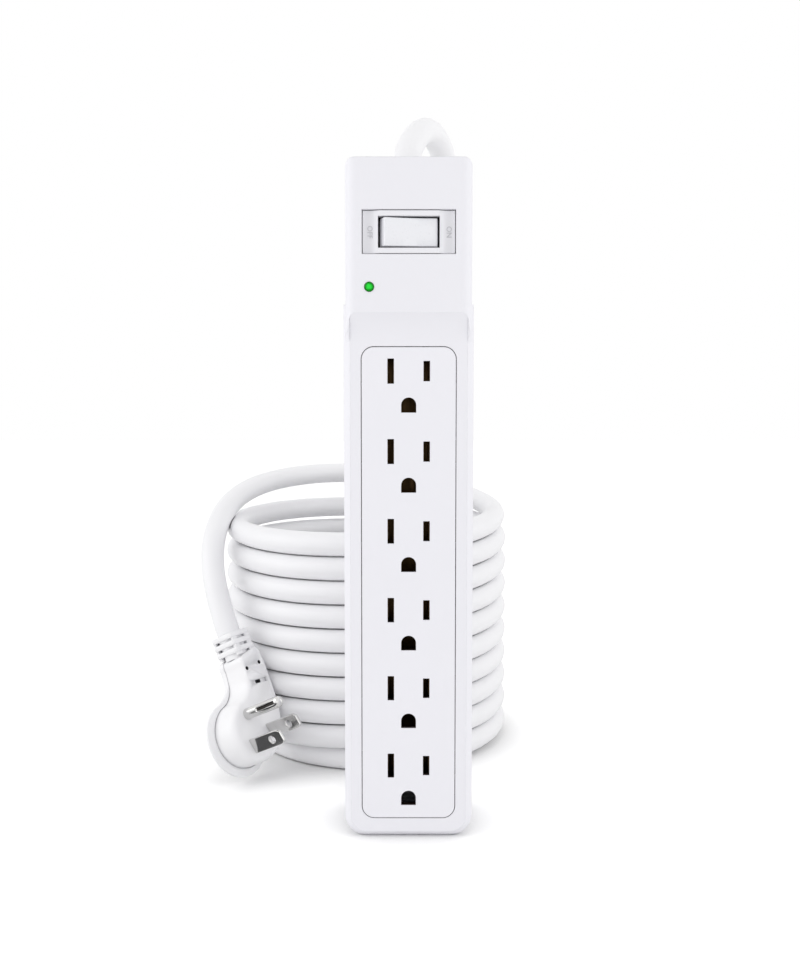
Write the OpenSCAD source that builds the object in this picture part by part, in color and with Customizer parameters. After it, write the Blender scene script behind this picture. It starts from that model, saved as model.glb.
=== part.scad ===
// Six-outlet power strip standing on its lower end, with its cord coiled behind it.
// Millimetres. The front faces -Y, +Z runs up the strip, the origin is the middle of the lower end.

/* [Body] */
// Width of the outlet section
body_w = 46; // [44:0.5:60]
// Overall length of the strip
body_l = 241.5; // [238:0.5:270]
// Depth from the head's face to the back
body_d = 36; // [35:0.5:44]
// Wall thickness of both shells
wall = 2.2; // [1.6:0.1:2.8]
// Radius of the two lower corners
bottom_corner_r = 8; // [4:0.5:12]
// Width of the bevel along the outlet section's edges
bevel_w = 2.3; // [1:0.1:3]
// Depth of that bevel
bevel_d = 2.6; // [1:0.1:4]
// Bevel around the back
back_bevel = 2; // [0.8:0.1:2.5]

/* [Head] */
// Width of the head
head_w = 44.6; // [42:0.2:46]
// Length of the head's raised face
head_l = 53.2; // [48:0.2:60]
// How far the head stands proud of the outlet panel
head_rise = 2.5; // [1:0.1:4]
// Length of the hollow slope from the head down to the panel
cove_l = 10; // [6:0.5:11]
// Rounding of the head's long edges
head_edge_r = 4; // [2:0.2:5]
// Slope of the cord's end face, from level
exit_tilt = 30; // [15:1:32]

/* [Outlets] */
// Number of outlets, fewer where the plate is too short for them
outlet_count = 6; // [1:1:6]
// Spacing of the outlets
outlet_pitch = 28.3; // [27:0.1:29]
// Height of the lowest pair of slots
first_slot_z = 26.6; // [25:0.1:30]
// Distance between the two slots of an outlet
slot_gap = 12.7; // [12:0.1:13]
// Width of both slots
slot_w = 2.3; // [2:0.1:2.8]
// Length of the neutral slot
neutral_slot_l = 8.8; // [8:0.1:9.5]
// Length of the live slot
live_slot_l = 7.1; // [6.6:0.1:8]
// Width of the ground hole
ground_hole_w = 5.3; // [5.1:0.1:5.8]
// Distance from the slots down to the ground hole
ground_drop = 11.9; // [11.5:0.1:12.5]
// Width of the outlet plate
plate_w = 33.2; // [30:0.2:36]
// Flat panel left between the plate and the hollow slope above it
plate_margin = 1.8; // [0.8:0.1:4]
// Height of the plate's lower edge
plate_z = 7.5; // [6:0.5:8.5]
// Thickness of the plate
plate_t = 2.6; // [1.8:0.1:3]
// Corner radius of the plate
plate_r = 4.3; // [2:0.1:6]

/* [Switch] */
// Width of the bezel around the rocker
bezel_w = 32.1; // [29:0.1:34]
// Height of the bezel
bezel_h = 14.7; // [13.6:0.1:15.4]
// Length of the rocker
rocker_l = 19.8; // [18:0.1:20.4]
// Height of the rocker
rocker_h = 10.3; // [9:0.1:10.6]
// Tilt of the rocker to either side
rocker_tilt = 7; // [4:0.5:8]
// How far the rocker's raised end stands proud of the head
rocker_proud = 1; // [0.4:0.1:1.6]
// Distance from the top end down to the switch
switch_drop = 25.5; // [24:0.5:28]

/* [Indicator] */
// Diameter of the indicator lens
lens_d = 3.3; // [2.6:0.1:4]
// Distance from the head's edge to the indicator
lens_inset = 8.5; // [8:0.1:10]
// Distance from the top end down to the indicator
lens_drop = 44.4; // [42:0.2:46]

/* [Cord] */
// Diameter of the cord
cord_d = 9.8; // [8:0.1:9.9]
// Passes of the coil across the front
coil_turns = 10; // [6:1:10]
// Step between the coil's turns
coil_pitch = 10.4; // [10.4:0.1:11]
// Radius of the coil at the middle of the cord
coil_r = 62.3; // [62:0.1:64]
// How much higher the top turn lies at the back
coil_lift = 13; // [8:0.5:14]

/* [Hidden] */
$fn = 48;

// Clearances: seams beside a fitted panel, moving parts, screw threads
panel_gap = 0.25;
moving_gap = 0.2;
thread_gap = 0.1;
// Overlap used only to cut cleanly through a face
cut = 0.5;

// Depths, front to back
back_y = (body_d + rocker_proud) / 2;
head_y = back_y - body_d;
panel_y = head_y + head_rise;
seam_y = back_y - body_d / 2;
panel_in_y = panel_y + wall;
head_in_y = head_y + wall;
back_in_y = back_y - wall;

// Heights
step_z = body_l - head_l;
shoulder_z = step_z + 3.2;
cove_z = step_z - cove_l;
cove_corner_r = 2.7;
plate_top = cove_z - plate_margin;
row_margin = 8;
row_count = min(outlet_count, floor((plate_top - row_margin - first_slot_z) / outlet_pitch) + 1);
switch_z = body_l - switch_drop;
lens_z = body_l - lens_drop;
lens_x = lens_inset - head_w / 2;

// Sloped end where the cord leaves, and its middle
exit_y = (seam_y + back_y) / 2;
exit_z = body_l - (exit_y - seam_y) * tan(exit_tilt);

// Screws that hold the shells together
boss_r = 2.6;
post_r = 3.6;
boss_low = 13;
boss_margin = 1;
boss_z = [boss_low, first_slot_z + 2.5 * outlet_pitch,
    body_l - body_d / 2 * tan(exit_tilt) - post_r - boss_margin];
function boss_x(z) = (z > step_z ? head_w : body_w) / 2 - wall - boss_r + 0.1;
screw_r = 1.3;
screw_head_r = 2.8;
screw_head_h = 2.2;
screw_seat = 4;
screw_l = 12.5;

// Keyhole: a round entry, a narrow slot above it, and a closed pocket behind the wall
keyhole_low = 25.4;
keyhole_top = 20.5;
keyhole_z = [first_slot_z + keyhole_low, plate_top - keyhole_top];
keyhole_r = 4.25;
keyhole_slot = 4.6;
keyhole_rise = 8;
pocket_w = 11;
pocket_l = 17;
pocket_d = 3;
pocket_wall = 1.5;

// Outlet contacts and the strips that join them
tip_room = 1.8;
blade_t = 1.7;
leaf_t = 0.6;
leaf_l = 7;
ground_leaf_l = 5.6;
ground_pin_room = 5;
strip_t = 0.8;
strip_w = 3.6;
strip_step = 3.2;
tray_t = 1.6;
tray_room = 2.2;
tray_y = back_in_y - pocket_d - pocket_wall - tray_room - tray_t;
ground_strip_y = tray_y - strip_t;
live_strip_y = ground_strip_y - strip_step;
tray_gap = 1.7;
tray_w = 2 * (boss_x(0) - post_r - tray_gap);
strip_z = plate_z + 2;
strip_top = plate_top + 0.5;

// Surge board
board_w = 34;
board_l = 24;
board_t = 1.6;
board_y = tray_y - 2;
board_z = lens_z - 12.6;
board_post_r = 2.2;
board_screw_r = 1;
board_screw_l = 6;
board_screw_end = 0.5;
board_inset = 2.8;

// Switch inner parts, measured from the rocker's axle
rocker_rise = 5.6;
axle_r = 1.2;
axle_y = head_y - rocker_proud + rocker_l / 2 * sin(rocker_tilt) + rocker_rise * cos(rocker_tilt);
rocker_corner = norm([rocker_l / 2, rocker_rise]);
opening_l = 2 * (rocker_corner * cos(atan(2 * rocker_rise / rocker_l) - rocker_tilt) + moving_gap);
opening_h = rocker_h + 2 * moving_gap + 0.2;
bezel_t = 2;
clip_t = 1;
switch_w = 24;
switch_h = 13.6;
switch_y0 = head_in_y + clip_t;
switch_y1 = switch_y0 + 17;
plunger_r = 1.1;
plunger_reach = 6.5;
arm_y = axle_y + plunger_reach + plunger_r + 0.25;
arm_t = 0.8;
arm_l = 8;
arm_h = 5;
pivot_r = 0.7;
rivet_r = 1.2;
rivet_h = 0.6;

// Cord entry
boot_l = 16;
boot_base_r = 6.8;
boot_tip_r = 5.4;
neck_r = 6;
flange_r = 7.2;
flange_t = 1.6;
tail_l = 3;
tail_r = 4.6;

// Plug: blade pattern, body and strain relief in the plug's own axes, Z along the blades
plug_pos = [-60.8, 42.3, 18.5];
plug_turn = [64, -15, 64];
plug_t = 13;
plug_r = 14.6;
plug_mid = [0.5, 4.15];
rim_r = 15.4;
rim_t = 2.6;
neck_end = [18.9, 33];
neck_lean = -14;
relief_w = 12;
relief_l = 10;
relief_ribs = 3;
blade_l = 17;
blade_w = 6.35;
plug_blade_t = 1.5;
ground_l = 20.5;
ground_r = 2.4;

// Coil: its axis on the floor, and the inner stretch that leads in
coil_mid = [-19.3, 117.5];
coil_in = -0.6;
coil_out = coil_turns - 0.7;
loop_rings = 24;

function unit(v) = v / norm(v);
function smooth(u) = let (c = max(0, min(1, u))) c * c * (3 - 2 * c);
function turn_x(v, a) = [v.x, v.y * cos(a) - v.z * sin(a), v.y * sin(a) + v.z * cos(a)];
function turn_y(v, a) = [v.x * cos(a) + v.z * sin(a), v.y, v.z * cos(a) - v.x * sin(a)];
function turn_z(v, a) = [v.x * cos(a) - v.y * sin(a), v.x * sin(a) + v.y * cos(a), v.z];
function turned(v, a) = turn_z(turn_y(turn_x(v, a.x), a.y), a.z);

// Coil centre line at a count of turns from the first pass across the front
function coil_point(t) =
    let (
        a = 270 + 360 * t,
        inset = (cord_d + 2.8) * smooth((0.12 - t) / 0.42),
        r = coil_r - inset,
        lift = coil_lift * max(0, t) / coil_turns * (1 + sin(a)) / 2,
        z = cord_d / 2 + 0.05 + coil_pitch * max(0, t) + lift
    )
    [coil_mid.x + r * cos(a), coil_mid.y + r * sin(a), z];
function coil_way(t) = unit(coil_point(t + 0.002) - coil_point(t - 0.002));
coil_start = coil_point(coil_in) - cord_d * coil_way(coil_in);
coil_end = coil_point(coil_out) + cord_d * coil_way(coil_out);

// Where the cord leaves the boot, and where it enters the plug
exit_way = [0, sin(exit_tilt), cos(exit_tilt)];
exit_mid = [0, exit_y, exit_z];
boot_tip = exit_mid + boot_l * exit_way;
relief_way = [-sin(neck_lean), cos(neck_lean), 0];
relief_end = [neck_end.x, neck_end.y, -plug_t / 2] + relief_l * relief_way;
plug_entry = plug_pos + turned(relief_end, plug_turn);
plug_way = turned(relief_way, plug_turn);

// Free stretches of the cord: over the top and down into the coil, and from the coil to the plug
lead_route = [[2.1, 25.8, 260], [6, 37.8, 267], [10.4, 51, 269.5], [14.5, 64.6, 267.1],
    [17.5, 76.8, 260.4], [19.3, 85.2, 250.4], [20.2, 89.5, 237], [20.2, 90.5, 215], [20.2, 90.5, 180],
    [20.2, 90.5, 140], [20.2, 90.5, 100], [20.2, 90.5, 70], [20.4, 91, 50], [22, 95, 30],
    [26.5, 106, 14], [29.5, 120, 7], [27.5, 134, 5]];
lead_points = concat([boot_tip, boot_tip + 4 * exit_way], lead_route,
    [coil_start - 4 * coil_way(coil_in), coil_start]);
plug_route = [[31.8, 158.3, 112.6], [25.6, 166.2, 114.4], [14.4, 174.4, 117.2], [-1.7, 179.4, 120.7],
    [-19.7, 179.6, 122.8], [-42, 172.5, 123.5], [-62, 155, 122], [-76.5, 131, 118.5], [-85, 107, 111.5],
    [-88, 88, 101], [-87.5, 75, 88], [-84.2, 68.6, 75.5]];
plug_points = concat([coil_end, coil_end + 6 * coil_way(coil_out)], plug_route,
    [plug_entry + 5 * plug_way, plug_entry]);

// Least gap between the coil's turns, measured between ring centres half a loop or more apart
coil_steps = round((coil_out - coil_in) * loop_rings);
coil_points = concat([coil_start],
    [for (i = [0:coil_steps]) coil_point(coil_in + (coil_out - coil_in) * i / coil_steps)],
    [coil_end]);
coil_gap = min([for (i = [0:len(coil_points) - 1]) for (j = [i + 12:1:len(coil_points) - 1])
    norm(coil_points[i] - coil_points[j])]) - cord_d;
echo(coil_gap = coil_gap);

white = "#f2f1f4";
bright = "#fafafa";
brass = "#c9a54a";
nickel = "#b9b8b4";
steel = "#8f9296";

module along_y(y0, y1) {
    translate([0, y1, 0]) rotate([90, 0, 0]) linear_extrude(y1 - y0) children();
}
module along_z(z0, z1) {
    translate([0, 0, z0]) linear_extrude(z1 - z0) children();
}
module along_x(x0, x1) {
    translate([x0, 0, 0]) rotate([90, 0, 90]) linear_extrude(x1 - x0) children();
}
module block(low, high) {
    translate(low) cube(high - low);
}
module rod_y(x, z, r, y0, y1) {
    translate([x, y1, z]) rotate([90, 0, 0]) cylinder(r = r, h = y1 - y0);
}
module rod_z(x, y, r, z0, z1) {
    translate([x, y, z0]) cylinder(r = r, h = z1 - z0);
}
// Rectangle about the middle line with its own radius on the lower and the upper corners
module plate_shape(w, z0, z1, low_r, high_r) {
    translate([-w / 2, z0 + low_r]) square([w, z1 - z0 - low_r - high_r]);
    translate([-w / 2 + low_r, z0]) square([w - 2 * low_r, low_r + 0.01]);
    translate([-w / 2 + high_r, z1 - high_r - 0.01]) square([w - 2 * high_r, high_r + 0.01]);
    for (s = [-1, 1]) {
        translate([s * (w / 2 - low_r), z0 + low_r]) circle(low_r);
        translate([s * (w / 2 - high_r), z1 - high_r]) circle(high_r);
    }
}

// Points of a smooth route through the chosen ones, some steps to each span
function route_point(p, i, u) =
    let (
        last = len(p) - 1,
        a = i > 0 ? p[i - 1] : 2 * p[0] - p[1],
        b = p[i],
        c = p[i + 1],
        d = i + 2 <= last ? p[i + 2] : 2 * p[last] - p[last - 1]
    )
    0.5 * (2 * b + (c - a) * u + (2 * a - 5 * b + 4 * c - d) * u * u
        + (3 * b - a - 3 * c + d) * u * u * u);
// The first and the last span stay straight
function route(p, steps) = concat([p[0]],
    [for (i = [1:len(p) - 3]) for (s = [0:steps - 1]) route_point(p, i, s / steps)],
    [p[len(p) - 2], p[len(p) - 1]]);
function ways(p) = [for (i = [0:len(p) - 1])
    unit(p[min(i + 1, len(p) - 1)] - p[max(i - 1, 0)])];
// Side directions carried along the route without twist
function sides_of(w, first) = [
    for (i = 0, s = unit(first - (first * w[0]) * w[0]); i < len(w); i = i + 1,
        s = i < len(w) ? unit(s - (s * w[i]) * w[i]) : s) s];
// Closed tube of flat triangles along the points
module tube(p, d, sides, first) {
    w = ways(p);
    side = sides_of(w, first);
    n = len(p);
    rim = [for (i = [0:n - 1]) for (k = [0:sides - 1])
        let (a = 360 * k / sides) p[i] + d / 2 * (cos(a) * side[i] + sin(a) * cross(w[i], side[i]))];
    skin = [for (i = [0:n - 2]) for (k = [0:sides - 1]) for (half = [0, 1])
        let (a = i * sides + k, b = i * sides + (k + 1) % sides)
        half == 0 ? [a, a + sides, b] : [b, a + sides, b + sides]];
    ends = [for (k = [1:sides - 2]) for (e = [0, 1])
        let (o = (n - 1) * sides) e == 0 ? [0, k, k + 1] : [o, o + k + 1, o + k]];
    polyhedron(rim, concat(skin, ends));
}

// Cross-section of the outlet section, bevelled along both front edges
module bevelled_section() {
    half = body_w / 2;
    polygon([[half, seam_y], [half, panel_y + bevel_d], [half - bevel_w, panel_y],
        [bevel_w - half, panel_y], [-half, panel_y + bevel_d], [-half, seam_y]]);
}
// Outer form of the outlet section, bevelled on its three free edges and around its lower corners
module outlet_section() {
    half = body_w / 2;
    r = bottom_corner_r;
    along_z(r, shoulder_z) bevelled_section();
    along_x(r - half, half - r) polygon([[seam_y, 0], [seam_y, r], [panel_y, r], [panel_y, bevel_w],
        [panel_y + bevel_d, 0]]);
    for (s = [-1, 1]) intersection() {
        translate([s * (half - r), 0, r]) rotate([-90, 0, 0]) rotate_extrude()
            polygon([[0, panel_y], [r - bevel_w, panel_y], [r, panel_y + bevel_d], [r, seam_y], [0, seam_y]]);
        block([s > 0 ? half - r : -half, panel_y, 0], [s > 0 ? half : r - half, seam_y, r]);
    }
}
// Outer form of the head, its long edges round, with the hollow slope down to the panel; beside the
// slope the head narrows into the panel's bevels
module head_section() {
    half = head_w / 2;
    cove_r = (cove_l * cove_l + head_rise * head_rise) / (2 * head_rise);
    difference() {
        intersection() {
            along_y(head_y, seam_y) plate_shape(head_w, cove_z, body_l, 0.5, 3);
            along_z(cove_z, body_l) {
                translate([-half, head_y + head_edge_r])
                    square([head_w, seam_y - head_y - head_edge_r]);
                translate([head_edge_r - half, head_y])
                    square([head_w - 2 * head_edge_r, head_edge_r + 0.01]);
                for (s = [-1, 1])
                    translate([s * (half - head_edge_r), head_y + head_edge_r]) circle(head_edge_r);
            }
            hull() {
                along_z(cove_z, cove_z + 0.01) bevelled_section();
                block([-body_w / 2, head_y, step_z], [body_w / 2, seam_y, body_l]);
            }
        }
        intersection() {
            translate([-half - cut, panel_y - cove_r, cove_z]) rotate([0, 90, 0])
                cylinder(r = cove_r, h = head_w + 2 * cut, $fn = 96);
            along_y(head_y - cut, seam_y)
                plate_shape(body_w - 2 * bevel_w, cove_z - 1, step_z + 0.1, 0.1, cove_corner_r);
        }
    }
}
module front_cavity() {
    along_y(panel_in_y, seam_y + cut)
        plate_shape(body_w - 2 * wall, wall, step_z, bottom_corner_r - wall, 0.5);
    along_y(head_in_y, seam_y + cut)
        plate_shape(head_w - 2 * wall, step_z - 1, body_l - wall, 0.5, 1);
}
module front_housing() {
    color(white) difference() {
        union() {
            difference() {
                union() {
                    outlet_section();
                    head_section();
                }
                front_cavity();
            }
            for (s = [-1, 1]) for (z = boss_z)
                rod_y(s * boss_x(z), z, boss_r, z > step_z ? head_in_y - 0.01 : panel_in_y - 0.01, seam_y);
        }
        along_y(head_y - cut, panel_y + max(wall + cut, plate_t + panel_gap))
            plate_shape(plate_w + 2 * panel_gap, plate_z - panel_gap, plate_top + panel_gap,
                plate_r + panel_gap, plate_r + panel_gap);
        block([-bezel_w / 2 - panel_gap, head_y - cut, switch_z - bezel_h / 2 - panel_gap],
            [bezel_w / 2 + panel_gap, head_in_y + cut, switch_z + bezel_h / 2 + panel_gap]);
        rod_y(lens_x, lens_z, lens_d / 2 + thread_gap, head_y - cut, head_in_y + cut);
        for (s = [-1, 1]) for (z = boss_z)
            rod_y(s * boss_x(z), z, screw_r + thread_gap, seam_y + screw_seat - screw_l - 0.5, seam_y + cut);
    }
}

// Half space above the sloped end, kept a wall's thickness lower for the hollow inside
module above_slope(inset) {
    translate(exit_mid - inset * exit_way) rotate([-exit_tilt, 0, 0])
        translate([-body_w, -body_l / 2, 0]) cube([2 * body_w, body_l, body_l / 2]);
}
module rear_form(inset, front) {
    half = body_w / 2 - inset;
    deep = back_y - inset;
    edge = max(0.3, back_bevel - inset / 2);
    difference() {
        intersection() {
            along_y(front, deep) {
                plate_shape(body_w - 2 * inset, inset, shoulder_z, bottom_corner_r - inset, 0.5);
                plate_shape(head_w - 2 * inset, cove_z, body_l - inset, 0.5, max(0.5, 3 - inset));
            }
            along_z(0, body_l) polygon([[half, front], [half, deep - edge], [half - edge, deep],
                [edge - half, deep], [-half, deep - edge], [-half, front]]);
            along_x(-half, half) polygon([[front, inset], [deep - edge, inset], [deep, inset + edge],
                [deep, body_l], [front, body_l]]);
        }
        above_slope(inset);
    }
}

module keyhole_pocket(z) {
    w = pocket_w / 2 + pocket_wall;
    l = pocket_l / 2 + pocket_wall;
    block([-w, back_in_y - pocket_d - pocket_wall, z + 3 - l], [w, back_in_y + 0.01, z + 3 + l]);
}
module keyhole_cut(z) {
    block([-pocket_w / 2, back_in_y - pocket_d, z - pocket_l / 2 + 3],
        [pocket_w / 2, back_in_y, z + pocket_l / 2 + 3]);
    rod_y(0, z, keyhole_r, back_in_y - cut, back_y + cut);
    block([-keyhole_slot / 2, back_in_y - cut, z], [keyhole_slot / 2, back_y + cut, z + keyhole_rise]);
    rod_y(0, z + keyhole_rise, keyhole_slot / 2, back_in_y - cut, back_y + cut);
}

rib_x = tray_w / 2 - 3;
rib_w = 1.6;
rib_l = 10;
rib_z = [for (k = [0:row_count - 1]) first_slot_z + outlet_pitch * k - 6];
module board_points() {
    for (sx = [-1, 1]) for (z = [board_z + board_inset, board_z + board_l - board_inset])
        translate([sx * (board_w / 2 - board_inset), 0, z]) children();
}
lip_t = 1;
lip_h = 1.2;
lip_gap = 0.15;
// Ring around the lower cavity and a bar in each side of the head, standing in the front housing
module lip_shape(edge) {
    difference() {
        plate_shape(body_w - 2 * edge, edge, step_z - 2, bottom_corner_r - wall, 0.5);
        plate_shape(body_w - 2 * (wall + lip_gap + lip_t), wall + lip_gap + lip_t, step_z + 2,
            bottom_corner_r - wall, 0.5);
    }
    for (s = [-1, 1]) translate([s * (head_w / 2 - (edge + wall + lip_gap + lip_t) / 2), 0])
        translate([(edge - wall - lip_gap - lip_t) / 2, step_z + 6])
            square([wall + lip_gap + lip_t - edge, head_l - 20]);
}
module seam_lip() {
    difference() {
        union() {
            along_y(seam_y - lip_h, seam_y + 0.01) lip_shape(wall + lip_gap);
            along_y(seam_y, seam_y + 1.5) lip_shape(wall - 0.3);
        }
        for (s = [-1, 1]) for (z = boss_z)
            rod_y(s * boss_x(z), z, boss_r + 0.6, seam_y - lip_h - cut, seam_y);
    }
}
module rear_cover() {
    color(white) difference() {
        union() {
            difference() {
                rear_form(0, seam_y);
                rear_form(wall, seam_y - cut);
            }
            seam_lip();
            intersection() {
                rear_form(0, seam_y);
                union() {
                    for (s = [-1, 1]) for (z = boss_z) rod_y(s * boss_x(z), z, post_r, seam_y, back_y);
                    for (z = keyhole_z) keyhole_pocket(z);
                    for (s = [-1, 1]) for (z = rib_z)
                        block([s * rib_x - rib_w / 2, tray_y + tray_t, z - rib_l / 2],
                            [s * rib_x + rib_w / 2, back_in_y + 0.01, z + rib_l / 2]);
                    board_points() rod_y(0, 0, board_post_r, board_y + board_t, back_in_y + 0.01);
                }
            }
        }
        for (s = [-1, 1]) for (z = boss_z) {
            rod_y(s * boss_x(z), z, screw_head_r + 0.3, seam_y + screw_seat, back_y + cut);
            rod_y(s * boss_x(z), z, screw_r + 0.3, seam_y - cut, back_y);
        }
        for (z = keyhole_z) keyhole_cut(z);
        board_points() rod_y(0, 0, board_screw_r + thread_gap, board_y, board_y + board_t + board_screw_l);
        translate(exit_mid) rotate([-exit_tilt, 0, 0])
            translate([0, 0, -2 * wall]) cylinder(r = neck_r + thread_gap, h = 3 * wall);
    }
}

// Openings of one outlet, in the plate's plane
module outlet_holes() {
    r = ground_hole_w / 2;
    translate([-slot_gap / 2 - slot_w / 2, -neutral_slot_l / 2]) square([slot_w, neutral_slot_l]);
    translate([slot_gap / 2 - slot_w / 2, -live_slot_l / 2]) square([slot_w, live_slot_l]);
    translate([0, -ground_drop]) circle(r);
    translate([-r, -ground_drop - r]) square([ground_hole_w, r]);
}
tab_gap = 0.6;
tab_w = body_w / 2 - wall - tab_gap - plate_w / 2 - panel_gap;
tab_t = 1.6;
tab_l = 8;
module outlet_plate() {
    color(white) difference() {
        union() {
            along_y(panel_y, panel_y + plate_t) plate_shape(plate_w, plate_z, plate_top, plate_r, plate_r);
            for (s = [-1, 1]) for (k = [0:row_count - 1]) {
                z = first_slot_z + outlet_pitch * k;
                translate([s * (plate_w / 2 - 1.5), 0, 0])
                    block([-1.5, panel_y + 1, z - tab_l / 2], [1.5, panel_in_y + tab_t, z + tab_l / 2]);
                translate([s * (plate_w / 2 + panel_gap), 0, 0])
                    block([-tab_w, panel_in_y, z - tab_l / 2], [tab_w, panel_in_y + tab_t, z + tab_l / 2]);
            }
        }
        for (k = [0:row_count - 1]) translate([0, 0, first_slot_z + outlet_pitch * k])
            along_y(panel_y - cut, panel_y + plate_t + cut) outlet_holes();
    }
}

// Bezel with a shallow dip on either side of the rocker
dip_r = 9;
dip_d = 0.8;
clip_l = 12;
module switch_bezel() {
    color(white) difference() {
        union() {
            block([-bezel_w / 2, head_y + 0.2, switch_z - bezel_h / 2],
                [bezel_w / 2, switch_y0, switch_z + bezel_h / 2]);
            block([-bezel_w / 2 - 1.4, head_in_y, switch_z - clip_l / 2],
                [bezel_w / 2 + 1.4, switch_y0, switch_z + clip_l / 2]);
        }
        block([-opening_l / 2, head_y - cut, switch_z - opening_h / 2],
            [opening_l / 2, switch_y0 + cut, switch_z + opening_h / 2]);
        for (s = [-1, 1])
            rod_z(s * (bezel_w / 2 - 2), head_y + 0.2 + dip_d - dip_r, dip_r,
                switch_z - bezel_h / 2 - cut, switch_z + bezel_h / 2 + cut);
    }
}

// The rocker is drawn level about its axle, then tilted to its resting side
module on_axle(tilt) {
    translate([0, axle_y, switch_z]) rotate([0, 0, tilt]) children();
}
hollow_r = 60;
well_r = plunger_r + thread_gap;
well_y = 1.6;
boss_reach = 4.6;
module rocker() {
    color(bright) on_axle(rocker_tilt) difference() {
        union() {
            block([-rocker_l / 2, -rocker_rise, -rocker_h / 2], [rocker_l / 2, -1.2, rocker_h / 2]);
            cylinder(r = 2.4, h = rocker_h, center = true);
            cylinder(r = axle_r, h = switch_h - 1, center = true);
            rod_y(0, 0, well_r + 1, 0, boss_reach);
        }
        translate([0, -rocker_rise - hollow_r + 0.5, 0])
            cylinder(r = hollow_r, h = rocker_h + 2, center = true, $fn = 200);
        rod_y(0, 0, well_r, well_y, boss_reach + cut);
    }
}
spring_l = 1.2;
module switch_plunger() {
    color(bright) on_axle(rocker_tilt) {
        rod_y(0, 0, plunger_r, well_y + spring_l, plunger_reach);
        translate([0, plunger_reach, 0]) sphere(plunger_r);
    }
}
module plunger_spring() {
    color(steel) on_axle(rocker_tilt) difference() {
        rod_y(0, 0, plunger_r - 0.1, well_y, well_y + spring_l);
        rod_y(0, 0, plunger_r - 0.5, well_y - cut, well_y + spring_l + cut);
    }
}
fork_t = 0.8;
load_x = -6.5;
tab_room = 7.1;
tab_end = back_in_y - tab_room;
module switch_body() {
    half_w = switch_w / 2;
    half_h = switch_h / 2;
    floor_t = 2.4;
    color("#3a3b40") difference() {
        block([-half_w, switch_y0, switch_z - half_h], [half_w, switch_y1, switch_z + half_h]);
        block([-opening_l / 2, switch_y0 - cut, switch_z - opening_h / 2],
            [opening_l / 2, arm_y - 2.2, switch_z + opening_h / 2]);
        block([-9.4, switch_y0 - cut, switch_z - 4.2], [9.4, switch_y1 - floor_t, switch_z + 4.2]);
        rod_z(0, axle_y, axle_r + thread_gap, switch_z - half_h - cut, switch_z + half_h + cut);
        block([-1.6, switch_y0, switch_z - 1], [1.6, switch_y1 + cut, switch_z + 1]);
        block([load_x - 1.6, switch_y0, switch_z - 1], [load_x + 1.6, switch_y1 + cut, switch_z + 1]);
    }
}
// The contact arm rocks the other way under the plunger
module contact_arm() {
    rise = arm_l * tan(rocker_tilt);
    color(brass) translate([0, arm_y, switch_z]) rotate([0, 0, -rocker_tilt]) {
        along_z(-arm_h / 2, arm_h / 2) polygon([[0, 0], [arm_l, -rise], [arm_l, arm_t - rise],
            [0, arm_t], [-arm_l, arm_t - rise], [-arm_l, -rise]]);
        for (s = [-1, 1]) translate([0, 0, s * (arm_h / 2 + fork_t / 2)])
            cylinder(r = pivot_r, h = fork_t + 0.8, center = true);
        rotate([0, 0, rocker_tilt]) rod_y(load_x, 0, rivet_r, 0.1, arm_t + rivet_h);
    }
}
module common_terminal() {
    base_y = arm_y + 2.2;
    color(brass) difference() {
        union() {
            for (s = [-1, 1]) {
                z = switch_z + s * (arm_h / 2 + 0.2 + fork_t / 2);
                block([-1.5, arm_y - 1.4, z - fork_t / 2], [1.5, base_y + 0.8, z + fork_t / 2]);
            }
            block([-1.5, base_y, switch_z - arm_h / 2 - 0.2],
                [1.5, base_y + 0.8, switch_z + arm_h / 2 + 0.2]);
            block([-1.5, base_y, switch_z - 0.4], [1.5, tab_end, switch_z + 0.4]);
        }
        rod_z(0, arm_y, pivot_r + 0.08, switch_z - switch_h, switch_z + switch_h);
    }
}
module load_terminal() {
    pad_y = arm_y + arm_t + rivet_h + 0.05;
    color(brass) {
        rod_y(load_x, switch_z, rivet_r, pad_y, pad_y + 0.6);
        block([load_x - 1.5, pad_y + 0.6, switch_z - 2], [load_x + 1.5, pad_y + 1.4, switch_z + 2]);
        block([load_x - 1.5, pad_y + 0.6, switch_z - 0.4],
            [load_x + 1.5, tab_end, switch_z + 0.4]);
    }
}

lens_proud = 0.3;
led_r = 1.5;
led_top = board_y - 4.6;
module indicator_lens() {
    color("#35d24a") {
        rod_y(lens_x, lens_z, lens_d / 2, head_y - lens_proud, head_in_y);
        rod_y(lens_x, lens_z, lens_d / 2 + 0.9, head_in_y, head_in_y + 1);
        rod_y(lens_x, lens_z, led_r, head_in_y, led_top - 0.3);
    }
}
module indicator_led() {
    color("#b8f0be") {
        rod_y(lens_x, lens_z, led_r, led_top, board_y);
        rod_y(lens_x, lens_z, led_r + 0.4, board_y - 1, board_y);
    }
}
module surge_board() {
    color("#2f7d4f") difference() {
        block([-board_w / 2, board_y, board_z], [board_w / 2, board_y + board_t, board_z + board_l]);
        board_points() rod_y(0, 0, board_screw_r + thread_gap, board_y - cut, board_y + board_t + cut);
    }
}
module board_screws() {
    color(steel) board_points() {
        rod_y(0, 0, 2, board_y - 1.4, board_y);
        rod_y(0, 0, board_screw_r, board_y - 0.5, board_y + board_t + board_screw_l - board_screw_end);
    }
}
varistor_r = 6.5;
varistor_t = 4.2;
varistor_x = 5;
module varistors() {
    color("#2b5fa8") for (k = [0:2]) {
        z = board_z + 5 + 7 * k;
        rod_z(varistor_x, board_y - 1 - varistor_r, varistor_r, z - varistor_t / 2, z + varistor_t / 2);
        for (s = [-1, 1]) rod_y(varistor_x + s * 3.75, z, 0.4, board_y - 3, board_y);
    }
}
fuse_r = 1.9;
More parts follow.
